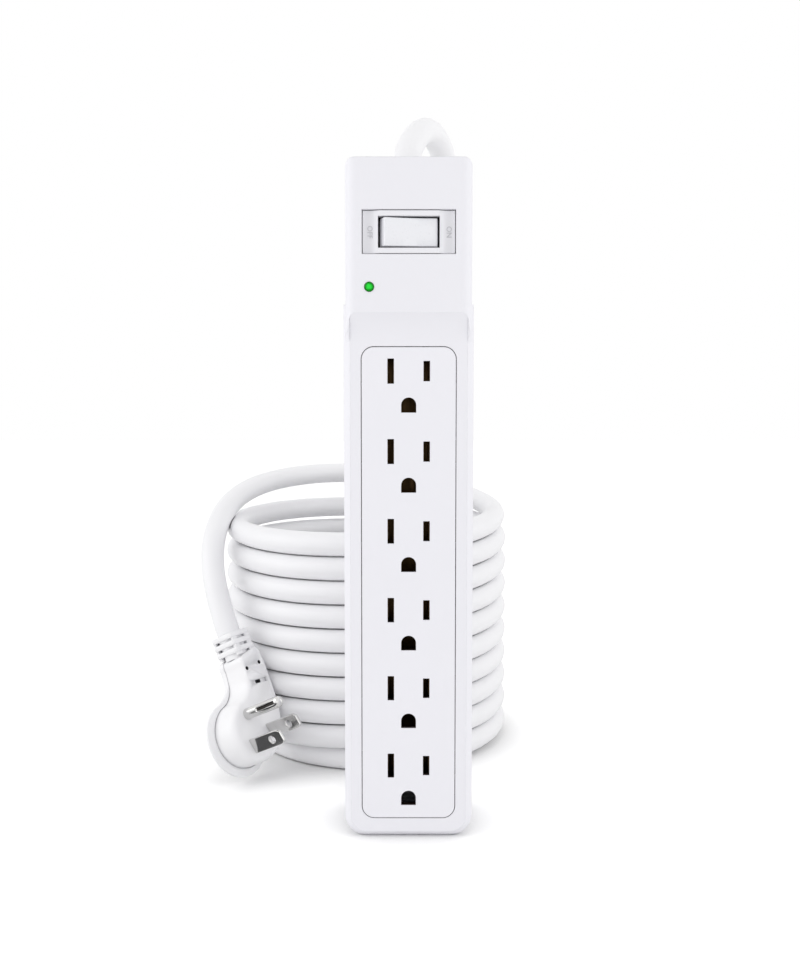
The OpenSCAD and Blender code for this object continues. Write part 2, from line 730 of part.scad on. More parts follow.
module thermal_fuse() {
    x = varistor_x - varistor_r - 3.2;
    color("#d8d4c8") {
        rod_z(x, board_y - fuse_r - 0.4, fuse_r, board_z + 9, board_z + 19);
        for (z = [board_z + 9.6, board_z + 18.4]) rod_y(x, z, 0.4, board_y - 1, board_y);
    }
}
capacitor_inset = 5.5;
capacitor_l = 9;
capacitor_h = 9;
capacitor_w = 5.5;
module filter_capacitor() {
    color("#b9a23c") translate([-board_w / 2 + capacitor_inset, board_y - capacitor_h, board_z + 1])
        cube([capacitor_l, capacitor_h, capacitor_w]);
}
module board_resistors() {
    color("#9fc3d8") for (k = [0, 1]) {
        z = board_z + 20 + 2.6 * k;
        translate([-9, board_y - 1.3, z]) rotate([0, 90, 0]) cylinder(r = 1, h = 5.6);
        for (x = [-8.4, -4]) rod_y(x, z, 0.3, board_y - 1, board_y);
    }
}

// A pair of spring leaves on a strip, one pair to each outlet
module contact_strip(x, y, half_gap, leaf, w, drop, metal) {
    color(metal) {
        block([x - w / 2, y, strip_z], [x + w / 2, y + strip_t, strip_top]);
        for (k = [0:row_count - 1]) for (s = [-1, 1]) {
            z = first_slot_z + outlet_pitch * k - drop;
            inner = x + s * half_gap;
            outer = inner + s * leaf_t;
            block([min(inner, outer), panel_y + plate_t + tip_room, z - leaf / 2],
                [max(inner, outer), y + 0.01, z + leaf / 2]);
        }
    }
}
module live_bus() {
    contact_strip(slot_gap / 2, live_strip_y, blade_t / 2, leaf_l, strip_w, 0, brass);
}
module neutral_bus() {
    contact_strip(-slot_gap / 2, live_strip_y, blade_t / 2, leaf_l, strip_w, 0, brass);
}
module ground_bus() {
    contact_strip(0, ground_strip_y, ground_pin_room / 2, ground_leaf_l, ground_pin_room + 2.2, ground_drop,
        brass);
}
pillar_r = 1.2;
pillar_x = tray_w / 2 - pillar_r;
module bus_tray() {
    color("#d9d9dc") {
        block([-tray_w / 2, tray_y, strip_z], [tray_w / 2, tray_y + tray_t, strip_top]);
        for (s = [-1, 1]) {
            block([s * slot_gap / 2 - strip_w / 2, live_strip_y + strip_t, strip_z],
                [s * slot_gap / 2 + strip_w / 2, tray_y + 0.01, strip_top]);
            for (k = [0:1:row_count - 2])
                rod_y(s * pillar_x, first_slot_z + outlet_pitch * (k + 0.5), pillar_r,
                    panel_y + plate_t, tray_y + 0.01);
        }
    }
}
module housing_screws() {
    color(steel) for (s = [-1, 1]) for (z = boss_z) {
        rod_y(s * boss_x(z), z, screw_head_r, seam_y + screw_seat, seam_y + screw_seat + screw_head_h);
        rod_y(s * boss_x(z), z, screw_r, seam_y + screw_seat - screw_l, seam_y + screw_seat + 0.01);
    }
}

// Inner wires run from the cord's end and the switch tabs to the strips
wire_d = 2.4;
tail_end = exit_mid - (wall + flange_t + tail_l) * exit_way;
board_top = board_z + board_l;
pass_z = strip_top + 3.6;
function core(x, up) = tail_end + [x, -up * cos(exit_tilt), up * sin(exit_tilt)];
function inward(p) = p - 2.5 * exit_way;
module wire(points, colour) {
    color(colour) tube(route(points, 3), wire_d, 8, [1, 0, 0]);
}
module line_wire() {
    start = core(0, -1.9);
    wire([start, inward(start), [0, tab_end - 2, switch_z + 8], [0, tab_end + 0.8, switch_z + 4],
        [0, tab_end + 1.3, switch_z + 1.5], [0, tab_end + 1.3, switch_z]], "#2a2a2c");
}
module neutral_wire() {
    start = core(-1.7, 0.9);
    wire([start, inward(start), [-5, seam_y + 4, body_l - 16], [-8.6, seam_y + 7.5, body_l - 20],
        [-9.5, back_in_y - 4.8, switch_z], [-9.5, back_in_y - 3.6, board_top],
        [-9.5, back_in_y - 3.6, board_z + 5], [-8.6, tray_y + 2.6, pass_z + 1],
        [-7.2, live_strip_y + 1.4, pass_z], [-slot_gap / 2, live_strip_y - 1.3, strip_top + 1],
        [-slot_gap / 2, live_strip_y - 1.3, strip_top - 3]], "#e9e9e6");
}
module ground_wire() {
    start = core(1.7, 0.9);
    wire([start, inward(start), [5, seam_y + 4, body_l - 16], [9, seam_y + 7.5, body_l - 20],
        [10.4, back_in_y - 4.4, switch_z], [10.4, back_in_y - 2.9, board_top],
        [8, back_in_y - 2.9, board_z + 12], [3, back_in_y - 3.2, board_z + 2],
        [0.4, tray_y + 2.6, pass_z + 0.6], [0, ground_strip_y - 0.4, pass_z - 0.6],
        [0, ground_strip_y - 1.35, strip_top], [0, ground_strip_y - 1.35, strip_top - 4]], "#3f8f4d");
}
module switched_wire() {
    wire([[load_x, tab_end + 1.3, switch_z], [load_x, tab_end + 1.3, switch_z - 3],
        [-4, tab_end + 1.5, board_top - 2], [4, tab_end + 1.3, board_z + 12],
        [8.6, tab_end + 1.3, board_z + 4], [8.6, tray_y + 2, pass_z + 1],
        [7.2, live_strip_y + 1.4, pass_z], [slot_gap / 2, live_strip_y - 1.3, strip_top + 1],
        [slot_gap / 2, live_strip_y - 1.3, strip_top - 3]], "#2a2a2c");
}

module cord_grommet() {
    color(bright) translate(exit_mid) rotate([-exit_tilt, 0, 0]) {
        cylinder(r1 = boot_base_r, r2 = boot_tip_r, h = boot_l);
        translate([0, 0, -wall - 0.01]) cylinder(r = neck_r, h = wall + 0.02);
        translate([0, 0, -wall - flange_t]) cylinder(r = flange_r, h = flange_t);
        translate([0, 0, -wall - flange_t - tail_l]) cylinder(r = tail_r, h = tail_l + 0.01);
    }
}
module cord_lead() {
    color(bright) tube(route(lead_points, 2), cord_d, 8, [1, 0, 0]);
}
module cord_coil() {
    color(bright) tube(coil_points, cord_d, 6, [0, 0, 1]);
}
module plug_lead() {
    color(bright) tube(route(plug_points, 2), cord_d, 8, [0, 0, 1]);
}

module on_plug() {
    translate(plug_pos) rotate(plug_turn) children();
}
// Round face with a neck to one side, as seen along the blades
module plug_outline(r) {
    grow = r - plug_r;
    translate(plug_mid) circle(r);
    polygon([plug_mid, [17.5 + grow, 1.5], [21.3 + grow, 9.5], [24.6, 25], [neck_end.x + 5.9, neck_end.y],
        [neck_end.x - 6, neck_end.y], [10, 24], [3.5 - grow, 18 + grow]]);
}
module plug_body() {
    rib_step = relief_l / relief_ribs;
    color(bright) on_plug() {
        translate([0, 0, -plug_t]) linear_extrude(plug_t) plug_outline(plug_r);
        translate([0, 0, -plug_t]) linear_extrude(rim_t) plug_outline(rim_r);
        translate([neck_end.x, neck_end.y, -plug_t / 2]) rotate([0, 0, neck_lean]) {
            translate([0, -2, 0]) rotate([-90, 0, 0]) cylinder(r = cord_d / 2 + 0.5, h = relief_l + 2);
            for (k = [0:relief_ribs - 1])
                translate([-relief_w / 2, (k + 0.3) * rib_step, -plug_t / 2])
                    cube([relief_w, 0.6 * rib_step, plug_t]);
        }
    }
}
blade_hole_r = 1.6;
blade_hole_reach = 11.6;
module plug_blade(side) {
    color(nickel) on_plug() difference() {
        translate([side * slot_gap / 2 - plug_blade_t / 2, -blade_w / 2, 0])
            cube([plug_blade_t, blade_w, blade_l]);
        translate([side * slot_gap / 2 - plug_blade_t, 0, blade_hole_reach]) rotate([0, 90, 0])
            cylinder(r = blade_hole_r, h = 2 * plug_blade_t);
    }
}
module plug_line_blade() {
    plug_blade(-1);
}
module plug_neutral_blade() {
    plug_blade(1);
}
module plug_ground_pin() {
    color(nickel) on_plug() translate([0, ground_drop, 0]) {
        cylinder(r = ground_r, h = ground_l - ground_r);
        translate([0, 0, ground_l - ground_r]) sphere(ground_r);
    }
}

front_housing();
rear_cover();
outlet_plate();
switch_bezel();
rocker();
switch_body();
switch_plunger();
plunger_spring();
contact_arm();
common_terminal();
load_terminal();
indicator_lens();
indicator_led();
surge_board();
board_screws();
varistors();
thermal_fuse();
filter_capacitor();
board_resistors();
live_bus();
neutral_bus();
ground_bus();
bus_tray();
housing_screws();
line_wire();
neutral_wire();
ground_wire();
switched_wire();
cord_grommet();
cord_lead();
cord_coil();
plug_lead();
plug_body();
plug_line_blade();
plug_neutral_blade();
plug_ground_pin();
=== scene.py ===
import bpy, bmesh, math
from mathutils import Euler, Matrix, Vector


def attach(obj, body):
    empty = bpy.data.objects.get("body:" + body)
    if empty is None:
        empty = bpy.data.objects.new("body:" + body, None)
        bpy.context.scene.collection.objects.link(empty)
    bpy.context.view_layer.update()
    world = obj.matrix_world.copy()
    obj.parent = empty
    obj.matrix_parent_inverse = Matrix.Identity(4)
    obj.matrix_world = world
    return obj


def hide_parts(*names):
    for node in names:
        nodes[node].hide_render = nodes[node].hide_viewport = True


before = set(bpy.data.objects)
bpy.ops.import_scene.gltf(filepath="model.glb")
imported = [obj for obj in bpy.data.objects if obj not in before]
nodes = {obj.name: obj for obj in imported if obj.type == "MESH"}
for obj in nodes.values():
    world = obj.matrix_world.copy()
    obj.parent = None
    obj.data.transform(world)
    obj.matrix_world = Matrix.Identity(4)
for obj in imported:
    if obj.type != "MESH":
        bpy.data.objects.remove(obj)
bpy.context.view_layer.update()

mm = 0.001
scene = bpy.context.scene


def link(piece):
    scene.collection.objects.link(piece)
    return piece


# Camera, at the eye height and pitch that the photograph shows
cameraSet = {"eye": (-3.07, -368.6, 149.1), "pitch": 86.38, "lens": 36.85, "sensor": 36, "near": 0.01}
camera = link(bpy.data.objects.new("camera", bpy.data.cameras.new("camera")))
camera.data.lens = cameraSet["lens"]
camera.data.sensor_width = cameraSet["sensor"]
camera.data.clip_start = cameraSet["near"]
camera.location = Vector(cameraSet["eye"]) * mm
camera.rotation_euler = (math.radians(cameraSet["pitch"]), 0, 0)
scene.camera = camera
scene.view_settings.view_transform = "Standard"
print("camera set")

# Cord: out of the boot, over the top, down inside the coil, up its turns and down to the plug
plugSet = {"place": (-60.8, 42.3, 18.5), "turn": (64, -15, 64), "thick": 13, "neckEnd": (18.9, 33),
           "lean": 14, "relief": 10}
plugFrame = Matrix.Translation(Vector(plugSet["place"]) * mm) @ Euler(
    [math.radians(a) for a in plugSet["turn"]]).to_matrix().to_4x4()
plugWay = Vector((math.sin(math.radians(plugSet["lean"])), math.cos(math.radians(plugSet["lean"])), 0))
exitSet = {"middle": (0, 9.5, 236.304), "tilt": 30, "length": 16}
exitWay = Vector((0, math.sin(math.radians(exitSet["tilt"])), math.cos(math.radians(exitSet["tilt"]))))
cordSet = {
    "diameter": 9.8, "full": 10.3, "turns": 10, "pitch": 10.4, "radius": 62.3, "lift": 13, "inset": 12.6,
    "insetFrom": 0.12, "insetOver": 0.42, "clear": 0.05, "nudge": 0.002, "middle": (-19.3, 117.5),
    "first": -0.6, "last": 9.3, "perTurn": 48, "perSpan": 6, "step": 3, "rounds": 22, "settle": 60,
    "straight": {"boot": 4, "coilIn": 4, "coilOut": 6, "plug": 5},
    "lead": [(2.1, 25.8, 260), (6, 37.8, 267), (10.4, 51, 269.5), (14.5, 64.6, 267.1), (17.5, 76.8, 260.4),
             (19.3, 85.2, 250.4), (20.2, 89.5, 237), (20.2, 90.5, 215), (20.2, 90.5, 180),
             (20.2, 90.5, 140), (20.2, 90.5, 100), (20.2, 90.5, 70), (20.4, 91, 50), (22, 95, 30),
             (26.5, 106, 14), (29.5, 120, 7), (27.5, 134, 5)],
    "toPlug": [(31.8, 158.3, 112.6), (25.6, 166.2, 114.4), (14.4, 174.4, 117.2), (-1.7, 179.4, 120.7),
               (-19.7, 179.6, 122.8), (-42, 172.5, 123.5), (-62, 155, 122), (-76.5, 131, 118.5),
               (-85, 107, 111.5), (-88, 88, 101), (-87.5, 75, 88), (-84.2, 68.6, 75.5)],
}


def ease(u):
    u = max(0.0, min(1.0, u))
    return u * u * (3 - 2 * u)


def coilPoint(t):
    angle = math.radians(270 + 360 * t)
    radius = cordSet["radius"] - cordSet["inset"] * ease((cordSet["insetFrom"] - t) / cordSet["insetOver"])
    lift = cordSet["lift"] * max(0, t) / cordSet["turns"] * (1 + math.sin(angle)) / 2
    return Vector((cordSet["middle"][0] + radius * math.cos(angle),
                   cordSet["middle"][1] + radius * math.sin(angle),
                   cordSet["diameter"] / 2 + cordSet["clear"] + cordSet["pitch"] * max(0, t) + lift))


def coilWay(t):
    return (coilPoint(t + cordSet["nudge"]) - coilPoint(t - cordSet["nudge"])).normalized()


def through(chosen, steps):
    route = [chosen[0]]
    for i in range(1, len(chosen) - 2):
        a, b, c, d = chosen[i - 1:i + 3]
        for k in range(steps):
            u = k / steps
            route.append(0.5 * (2 * b + (c - a) * u + (2 * a - 5 * b + 4 * c - d) * u * u
                                + (3 * b - a - 3 * c + d) * u ** 3))
    return route + chosen[-2:]


def cordPoints():
    first, last, d = cordSet["first"], cordSet["last"], cordSet["diameter"]
    straight, spans = cordSet["straight"], cordSet["perSpan"]
    tip = Vector(exitSet["middle"]) + exitSet["length"] * exitWay
    start = coilPoint(first) - d * coilWay(first)
    end = coilPoint(last) + d * coilWay(last)
    entry = plugFrame @ ((Vector((*plugSet["neckEnd"], -plugSet["thick"] / 2))
                          + plugSet["relief"] * plugWay) * mm) / mm
    way = plugFrame.to_3x3() @ plugWay
    lead = [tip, tip + straight["boot"] * exitWay] + [Vector(p) for p in cordSet["lead"]]
    lead += [start - straight["coilIn"] * coilWay(first), start]
    count = round((last - first) * cordSet["perTurn"])
    coil = [coilPoint(first + (last - first) * i / count) for i in range(count + 1)]
    toPlug = [end, end + straight["coilOut"] * coilWay(last)] + [Vector(p) for p in cordSet["toPlug"]]
    toPlug += [entry + straight["plug"] * way, entry]
    return through(lead, spans), coil, through(toPlug, spans)


def lengthOf(route):
    return sum((b - a).length for a, b in zip(route, route[1:]))


def evened(route, step):
    whole = lengthOf(route)
    count = round(whole / step)
    spaced, done, i = [route[0]], 0.0, 0
    for k in range(1, count):
        while done + (route[i + 1] - route[i]).length < whole * k / count:
            done += (route[i + 1] - route[i]).length
            i += 1
        spaced.append(route[i] + (route[i + 1] - route[i]).normalized() * (whole * k / count - done))
    return spaced + [route[-1]]


# Eases the joins between the coil and the free stretches, as a stiff cord would lie
def relaxed(parts):
    route = evened(parts[0] + parts[1] + parts[2], cordSet["step"])
    whole, reach = len(route), cordSet["settle"]
    leave = lengthOf(parts[0]) + reach
    rejoin = lengthOf(parts[0]) + lengthOf(parts[1]) - reach
    share = []
    for i in range(whole):
        along = i * cordSet["step"]
        share.append(max(ease((leave - along) / reach), ease((along - rejoin) / reach)))
    for _ in range(cordSet["rounds"]):
        route = route[:2] + [route[i].lerp((route[i - 1] + route[i + 1]) / 2, 0.5 * share[i])
                             for i in range(2, whole - 2)] + route[-2:]
    return route


cordRoute = relaxed(cordPoints())
cordCurve = bpy.data.curves.new("cord", "CURVE")
cordCurve.dimensions = "3D"
cordCurve.bevel_depth = 1
cordCurve.bevel_resolution = 7
cordCurve.use_fill_caps = True
cordSpline = cordCurve.splines.new("POLY")
cordSpline.points.add(len(cordRoute) - 1)
for target, p in zip(cordSpline.points, cordRoute):
    target.co = (*(p * mm), 1)
    target.radius = cordSet["full"] * mm / 2
cordPiece = link(bpy.data.objects.new("cord", cordCurve))
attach(cordPiece, "strip")
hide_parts("cord_lead", "cord_coil", "plug_lead")


# Node helpers and shared effects
def put(tree, kind, inputs=None, **settings):
    node = tree.nodes.new("ShaderNode" + kind)
    for key, value in settings.items():
        setattr(node, key, value)
    for key, value in (inputs or {}).items():
        if isinstance(value, bpy.types.NodeSocket):
            tree.links.new(value, node.inputs[key])
        else:
            node.inputs[key].default_value = value
    return node


def mixed(tree, factor, a, b):
    return put(tree, "Mix", {0: factor, 6: a, 7: b}, data_type="RGBA").outputs[2]


def ranged(tree, value, low, high, toLow, toHigh):
    return put(tree, "MapRange", {"Value": value, "From Min": low, "From Max": high,
                                  "To Min": toLow, "To Max": toHigh}).outputs[0]


def group(name, takes, gives):
    tree = bpy.data.node_groups.new(name, "ShaderNodeTree")
    kinds = {1: "NodeSocketFloat", 3: "NodeSocketVector", 4: "NodeSocketColor"}
    for label, value in takes.items():
        size = len(value) if isinstance(value, tuple) else 1
        tree.interface.new_socket(label, in_out="INPUT", socket_type=kinds[size]).default_value = value
    for label in gives:
        kind = "NodeSocketColor" if label == "Colour" else "NodeSocketFloat"
        tree.interface.new_socket(label, in_out="OUTPUT", socket_type=kind)
    inner, outer = tree.nodes.new("NodeGroupInput"), tree.nodes.new("NodeGroupOutput")

    def give(label, socket):
        tree.links.new(socket, outer.inputs[label])
    return tree, inner.outputs, give


def mouldGrain():
    tree, take, give = group("mouldGrain", {"Base": (0.8, 0.8, 0.8, 1), "Tone": 0.04, "Fineness": 2200.0,
                                            "Smooth": 0.35, "Rough": 0.5},
                             ["Colour", "Roughness", "Height"])
    place = put(tree, "TexCoord").outputs["Object"]
    drift = put(tree, "TexNoise", {"Vector": place, "Scale": 24.0, "Detail": 3.0}).outputs[0]
    grain = put(tree, "TexNoise", {"Vector": place, "Scale": take["Fineness"], "Detail": 2.0}).outputs[0]
    fade = put(tree, "Math", {0: take["Tone"], 1: drift}, operation="MULTIPLY").outputs[0]
    keep = put(tree, "Math", {0: 1.0, 1: fade}, operation="SUBTRACT").outputs[0]
    give("Colour", put(tree, "VectorMath", {0: take["Base"], "Scale": keep}, operation="SCALE").outputs[0])
    blend = ranged(tree, grain, 0.3, 0.7, 0, 1)
    give("Roughness", put(tree, "Mix", {0: blend, 2: take["Smooth"], 3: take["Rough"]}).outputs[0])
    give("Height", grain)
    return tree


def metalStreak():
    tree, take, give = group("metalStreak", {"Base": (0.7, 0.7, 0.7, 1), "Stretch": (900.0, 900.0, 40.0),
                                             "Tone": 0.15, "Smooth": 0.18, "Rough": 0.36},
                             ["Colour", "Roughness", "Height"])
    place = put(tree, "TexCoord").outputs["Object"]
    drawn = put(tree, "VectorMath", {0: place, 1: take["Stretch"]}, operation="MULTIPLY").outputs[0]
    streak = put(tree, "TexNoise", {"Vector": drawn, "Scale": 1.0, "Detail": 4.0}).outputs[0]
    stain = put(tree, "TexNoise", {"Vector": place, "Scale": 260.0, "Detail": 3.0}).outputs[0]
    mark = put(tree, "Math", {0: streak, 1: stain}, operation="MULTIPLY").outputs[0]
    fade = put(tree, "Math", {0: take["Tone"], 1: mark}, operation="MULTIPLY").outputs[0]
    keep = put(tree, "Math", {0: 1.0, 1: fade}, operation="SUBTRACT").outputs[0]
    give("Colour", put(tree, "VectorMath", {0: take["Base"], "Scale": keep}, operation="SCALE").outputs[0])
    blend = ranged(tree, streak, 0.3, 0.7, 0, 1)
    give("Roughness", put(tree, "Mix", {0: blend, 2: take["Smooth"], 3: take["Rough"]}).outputs[0])
    give("Height", streak)
    return tree


# Painted shade: ambient occlusion darkens the colour towards a dark shade colour in seams, creases and
# where parts touch
def paintedCreviceShade():
    tree, take, give = group("paintedCreviceShade", {"Base": (0.8, 0.8, 0.8, 1), "Tint": (0.3, 0.3, 0.32, 1),
                                             "Reach": 0.0015}, ["Colour"])
    near = put(tree, "AmbientOcclusion", {"Distance": take["Reach"]}, samples=6).outputs["AO"]
    give("Colour", mixed(tree, ranged(tree, near, 0.1, 0.62, 0, 1), take["Tint"], take["Base"]))
    return tree


def depthShade():
    tree, take, give = group("depthShade", {"Base": (0.8, 0.8, 0.8, 1), "Deep": (0.01, 0.006, 0.005, 1),
                                            "Front": 0.0, "Reach": 0.0004}, ["Colour"])
    place = put(tree, "TexCoord").outputs["Object"]
    y = put(tree, "SeparateXYZ", {0: place}).outputs["Y"]
    depth = put(tree, "Math", {0: y, 1: take["Front"]}, operation="SUBTRACT").outputs[0]
    part = put(tree, "Math", {0: depth, 1: take["Reach"]}, operation="DIVIDE").outputs[0]
    give("Colour", mixed(tree, ranged(tree, part, 0.5, 1.0, 0, 1), take["Base"], take["Deep"]))
    return tree


def roundGlow():
    tree, take, give = group("roundGlow", {"Core": (0.1, 0.9, 0.2, 1), "Rim": (0.0, 0.2, 0.02, 1),
                                           "Middle": (0.0, 0.0, 0.0), "Radius": 0.0016}, ["Colour"])
    place = put(tree, "TexCoord").outputs["Object"]
    away = put(tree, "VectorMath", {0: place, 1: take["Middle"]}, operation="SUBTRACT").outputs[0]
    flat = put(tree, "VectorMath", {0: away, 1: (1.0, 0.0, 1.0)}, operation="MULTIPLY").outputs[0]
    reach = put(tree, "VectorMath", {0: flat}, operation="LENGTH").outputs["Value"]
    part = put(tree, "Math", {0: reach, 1: take["Radius"]}, operation="DIVIDE").outputs[0]
    speck = put(tree, "TexNoise", {"Vector": place, "Scale": 1400.0, "Detail": 1.0}).outputs[0]
    rough = put(tree, "Math", {0: part, 1: ranged(tree, speck, 0.3, 0.7, -0.12, 0.12)}).outputs[0]
    give("Colour", mixed(tree, ranged(tree, rough, 0.45, 0.92, 0, 1), take["Core"], take["Rim"]))
    return tree


def stripeBands():
    tree, take, give = group("stripeBands", {"Base": (0.8, 0.8, 0.8, 1), "Stripe": (0.1, 0.1, 0.1, 1),
                                             "Scale": 300.0, "Share": 0.75}, ["Colour"])
    place = put(tree, "TexCoord").outputs["Object"]
    wave = put(tree, "TexWave", {"Vector": place, "Scale": take["Scale"], "Distortion": 0.6},
               bands_direction="DIAGONAL").outputs[1]
    over = put(tree, "Math", {0: wave, 1: take["Share"]}, operation="GREATER_THAN").outputs[0]
    give("Colour", mixed(tree, over, take["Base"], take["Stripe"]))
    return tree


effects = {make.__name__: make() for make in
           (mouldGrain, metalStreak, paintedCreviceShade, depthShade, roundGlow, stripeBands)}


def effect(tree, name, inputs):
    return put(tree, "Group", inputs, node_tree=effects[name]).outputs


def surface(name, look):
    material = bpy.data.materials.new(name)
    material.use_nodes = True
    tree = material.node_tree
    shader = tree.nodes["Principled BSDF"]
    inputs = {"Base": (*look["colour"], 1), "Tone": look.get("tone", 0.04),
              "Smooth": look["rough"][0], "Rough": look["rough"][1]}
    if "stretch" in look:
        inputs["Stretch"] = look["stretch"]
        grain = effect(tree, "metalStreak", inputs)
    else:
        inputs["Fineness"] = look.get("fineness", 2200.0)
        grain = effect(tree, "mouldGrain", inputs)
    colour = grain["Colour"]
    # depthShade and the crevice entries paint shade into the colour; stripeBands is the part's own pattern
    for kind, key in (("stripeBands", "stripe"), ("depthShade", "deep"), ("paintedCreviceShade", "creviceShade")):
        if key in look:
            colour = effect(tree, kind, {"Base": colour, **look[key]})["Colour"]
    tree.links.new(colour, shader.inputs["Base Color"])
    tree.links.new(grain["Roughness"], shader.inputs["Roughness"])
    bump = put(tree, "Bump", {"Strength": look.get("bump", 0.1), "Height": grain["Height"],
                              "Distance": look.get("bumpDepth", 0.00004)})
    if "edge" in look:
        rounded = put(tree, "Bevel", {"Radius": look["edge"]}, samples=4)
        tree.links.new(rounded.outputs["Normal"], bump.inputs["Normal"])
    tree.links.new(bump.outputs["Normal"], shader.inputs["Normal"])
    shader.inputs["Metallic"].default_value = look.get("metal", 0.0)
    shader.inputs["IOR"].default_value = look.get("ior", 1.48)
    shader.inputs["Coat Weight"].default_value = look.get("coat", 0.0)
    shader.inputs["Coat Roughness"].default_value = look.get("coatRough", 0.2)
    return material


def dress(material, *names):
    for name in names:
        piece = nodes[name]
        if not piece.material_slots:
            piece.data.materials.append(material)
        for held in piece.material_slots:
            held.material = material


# Painted shade: the crevice entries darken seams, creases and the contact lines between cord turns
paintedSeamShade = {"Tint": (0.42, 0.42, 0.45, 1), "Reach": 0.0012}
looks = {
    "housing": {"colour": (0.885, 0.88, 0.925), "tone": 0.025, "rough": (0.4, 0.52), "bump": 0.12,
                "edge": 0.0005, "creviceShade": paintedSeamShade},
    "plate": {"colour": (0.89, 0.885, 0.932), "tone": 0.02, "rough": (0.38, 0.5), "bump": 0.1,
              "edge": 0.00025, "deep": {"Front": -0.015, "Reach": 0.0004,
                                        "Deep": (0.022, 0.011, 0.009, 1)}},
    "bezel": {"colour": (0.875, 0.872, 0.91), "tone": 0.02, "rough": (0.34, 0.46), "bump": 0.1,
              "edge": 0.00025, "creviceShade": {"Tint": (0.34, 0.34, 0.37, 1), "Reach": 0.0008},
              "deep": {"Front": -0.0173, "Reach": 0.001, "Deep": (0.68, 0.677, 0.71, 1)}},
    "rocker": {"colour": (0.885, 0.89, 0.925), "tone": 0.02, "rough": (0.26, 0.36), "bump": 0.06,
               "fineness": 1500.0},
    "cord": {"colour": (0.92, 0.918, 0.935), "tone": 0.03, "rough": (0.3, 0.46), "bump": 0.2,
             "fineness": 900.0, "bumpDepth": 0.00006,
             "creviceShade": {"Tint": (0.16, 0.16, 0.17, 1), "Reach": 0.0009}},
    "boot": {"colour": (0.91, 0.908, 0.925), "tone": 0.04, "rough": (0.4, 0.55), "bump": 0.25,
             "creviceShade": paintedSeamShade},
    "plug": {"colour": (0.95, 0.948, 0.962), "tone": 0.03, "rough": (0.3, 0.42), "bump": 0.12,
             "creviceShade": {"Tint": (0.3, 0.3, 0.32, 1), "Reach": 0.0022}},
    "relief": {"colour": (0.94, 0.938, 0.952), "tone": 0.03, "rough": (0.34, 0.46), "bump": 0.12,
               "creviceShade": paintedSeamShade},
    # Painted shade: near-black colour for the walls of the plug's pin holes and pocket
    "recess": {"colour": (0.03, 0.03, 0.035), "tone": 0.3, "rough": (0.6, 0.8)},
    "nickel": {"colour": (0.78, 0.775, 0.765), "metal": 1.0, "rough": (0.08, 0.16), "tone": 0.4,
               "stretch": (150.0, 420.0, 150.0), "bump": 0.06, "bumpDepth": 0.00002},
    # Painted shade: near-black metal for the screws' cross recesses and the ground pin's groove
    "groove": {"colour": (0.08, 0.075, 0.07), "metal": 1.0, "rough": (0.3, 0.5), "tone": 0.4,
               "stretch": (300.0, 300.0, 300.0)},
    "mark": {"colour": (0.6, 0.6, 0.63), "tone": 0.1, "rough": (0.4, 0.5)},
    "steel": {"colour": (0.56, 0.57, 0.58), "metal": 1.0, "rough": (0.25, 0.45), "tone": 0.3,
              "stretch": (700.0, 120.0, 700.0), "bump": 0.1},
    "brass": {"colour": (0.1, 0.058, 0.026), "metal": 1.0, "rough": (0.3, 0.5), "tone": 0.5,
              "stretch": (800.0, 800.0, 60.0), "bump": 0.1},
    "switchBlack": {"colour": (0.03, 0.031, 0.035), "tone": 0.25, "rough": (0.4, 0.55), "bump": 0.2},
    "ledPale": {"colour": (0.75, 0.85, 0.76), "tone": 0.08, "rough": (0.08, 0.16), "coat": 0.5},
    "board": {"colour": (0.02, 0.16, 0.07), "tone": 0.2, "rough": (0.28, 0.4),
              "stripe": {"Stripe": (0.05, 0.27, 0.11, 1), "Scale": 260.0, "Share": 0.82}},
    "varistor": {"colour": (0.03, 0.12, 0.38), "tone": 0.2, "rough": (0.25, 0.4), "bump": 0.4,
                 "fineness": 700.0},
    "fuse": {"colour": (0.36, 0.36, 0.36), "tone": 0.15, "rough": (0.3, 0.45)},
    "capacitor": {"colour": (0.72, 0.5, 0.06), "tone": 0.12, "rough": (0.28, 0.42)},
    "resistor": {"colour": (0.12, 0.3, 0.46), "tone": 0.1, "rough": (0.3, 0.45),
                 "stripe": {"Stripe": (0.25, 0.05, 0.03, 1), "Scale": 420.0, "Share": 0.7}},
    "tray": {"colour": (0.2, 0.2, 0.21), "tone": 0.15, "rough": (0.45, 0.6), "bump": 0.2},
    "wireBlack": {"colour": (0.025, 0.025, 0.028), "tone": 0.2, "rough": (0.35, 0.5)},
    "wireWhite": {"colour": (0.8, 0.8, 0.78), "tone": 0.08, "rough": (0.35, 0.5)},
    "wireGreen": {"colour": (0.04, 0.25, 0.07), "tone": 0.12, "rough": (0.35, 0.5)},
}
made = {name: surface(name, look) for name, look in looks.items()}
dress(made["housing"], "front_housing", "rear_cover")
dress(made["plate"], "outlet_plate")
dress(made["bezel"], "switch_bezel")
dress(made["rocker"], "switch_plunger")
dress(made["switchBlack"], "switch_body")
dress(made["steel"], "plunger_spring", "board_screws")
dress(made["brass"], "contact_arm", "common_terminal", "load_terminal", "live_bus", "neutral_bus",
      "ground_bus")
dress(made["ledPale"], "indicator_led")
dress(made["board"], "surge_board")
dress(made["varistor"], "varistors")
dress(made["fuse"], "thermal_fuse")
dress(made["capacitor"], "filter_capacitor")
dress(made["resistor"], "board_resistors")
dress(made["tray"], "bus_tray")
dress(made["wireBlack"], "line_wire", "switched_wire")
dress(made["wireWhite"], "neutral_wire")
dress(made["wireGreen"], "ground_wire")
cordCurve.materials.append(made["cord"])
print("materials made", len(made))


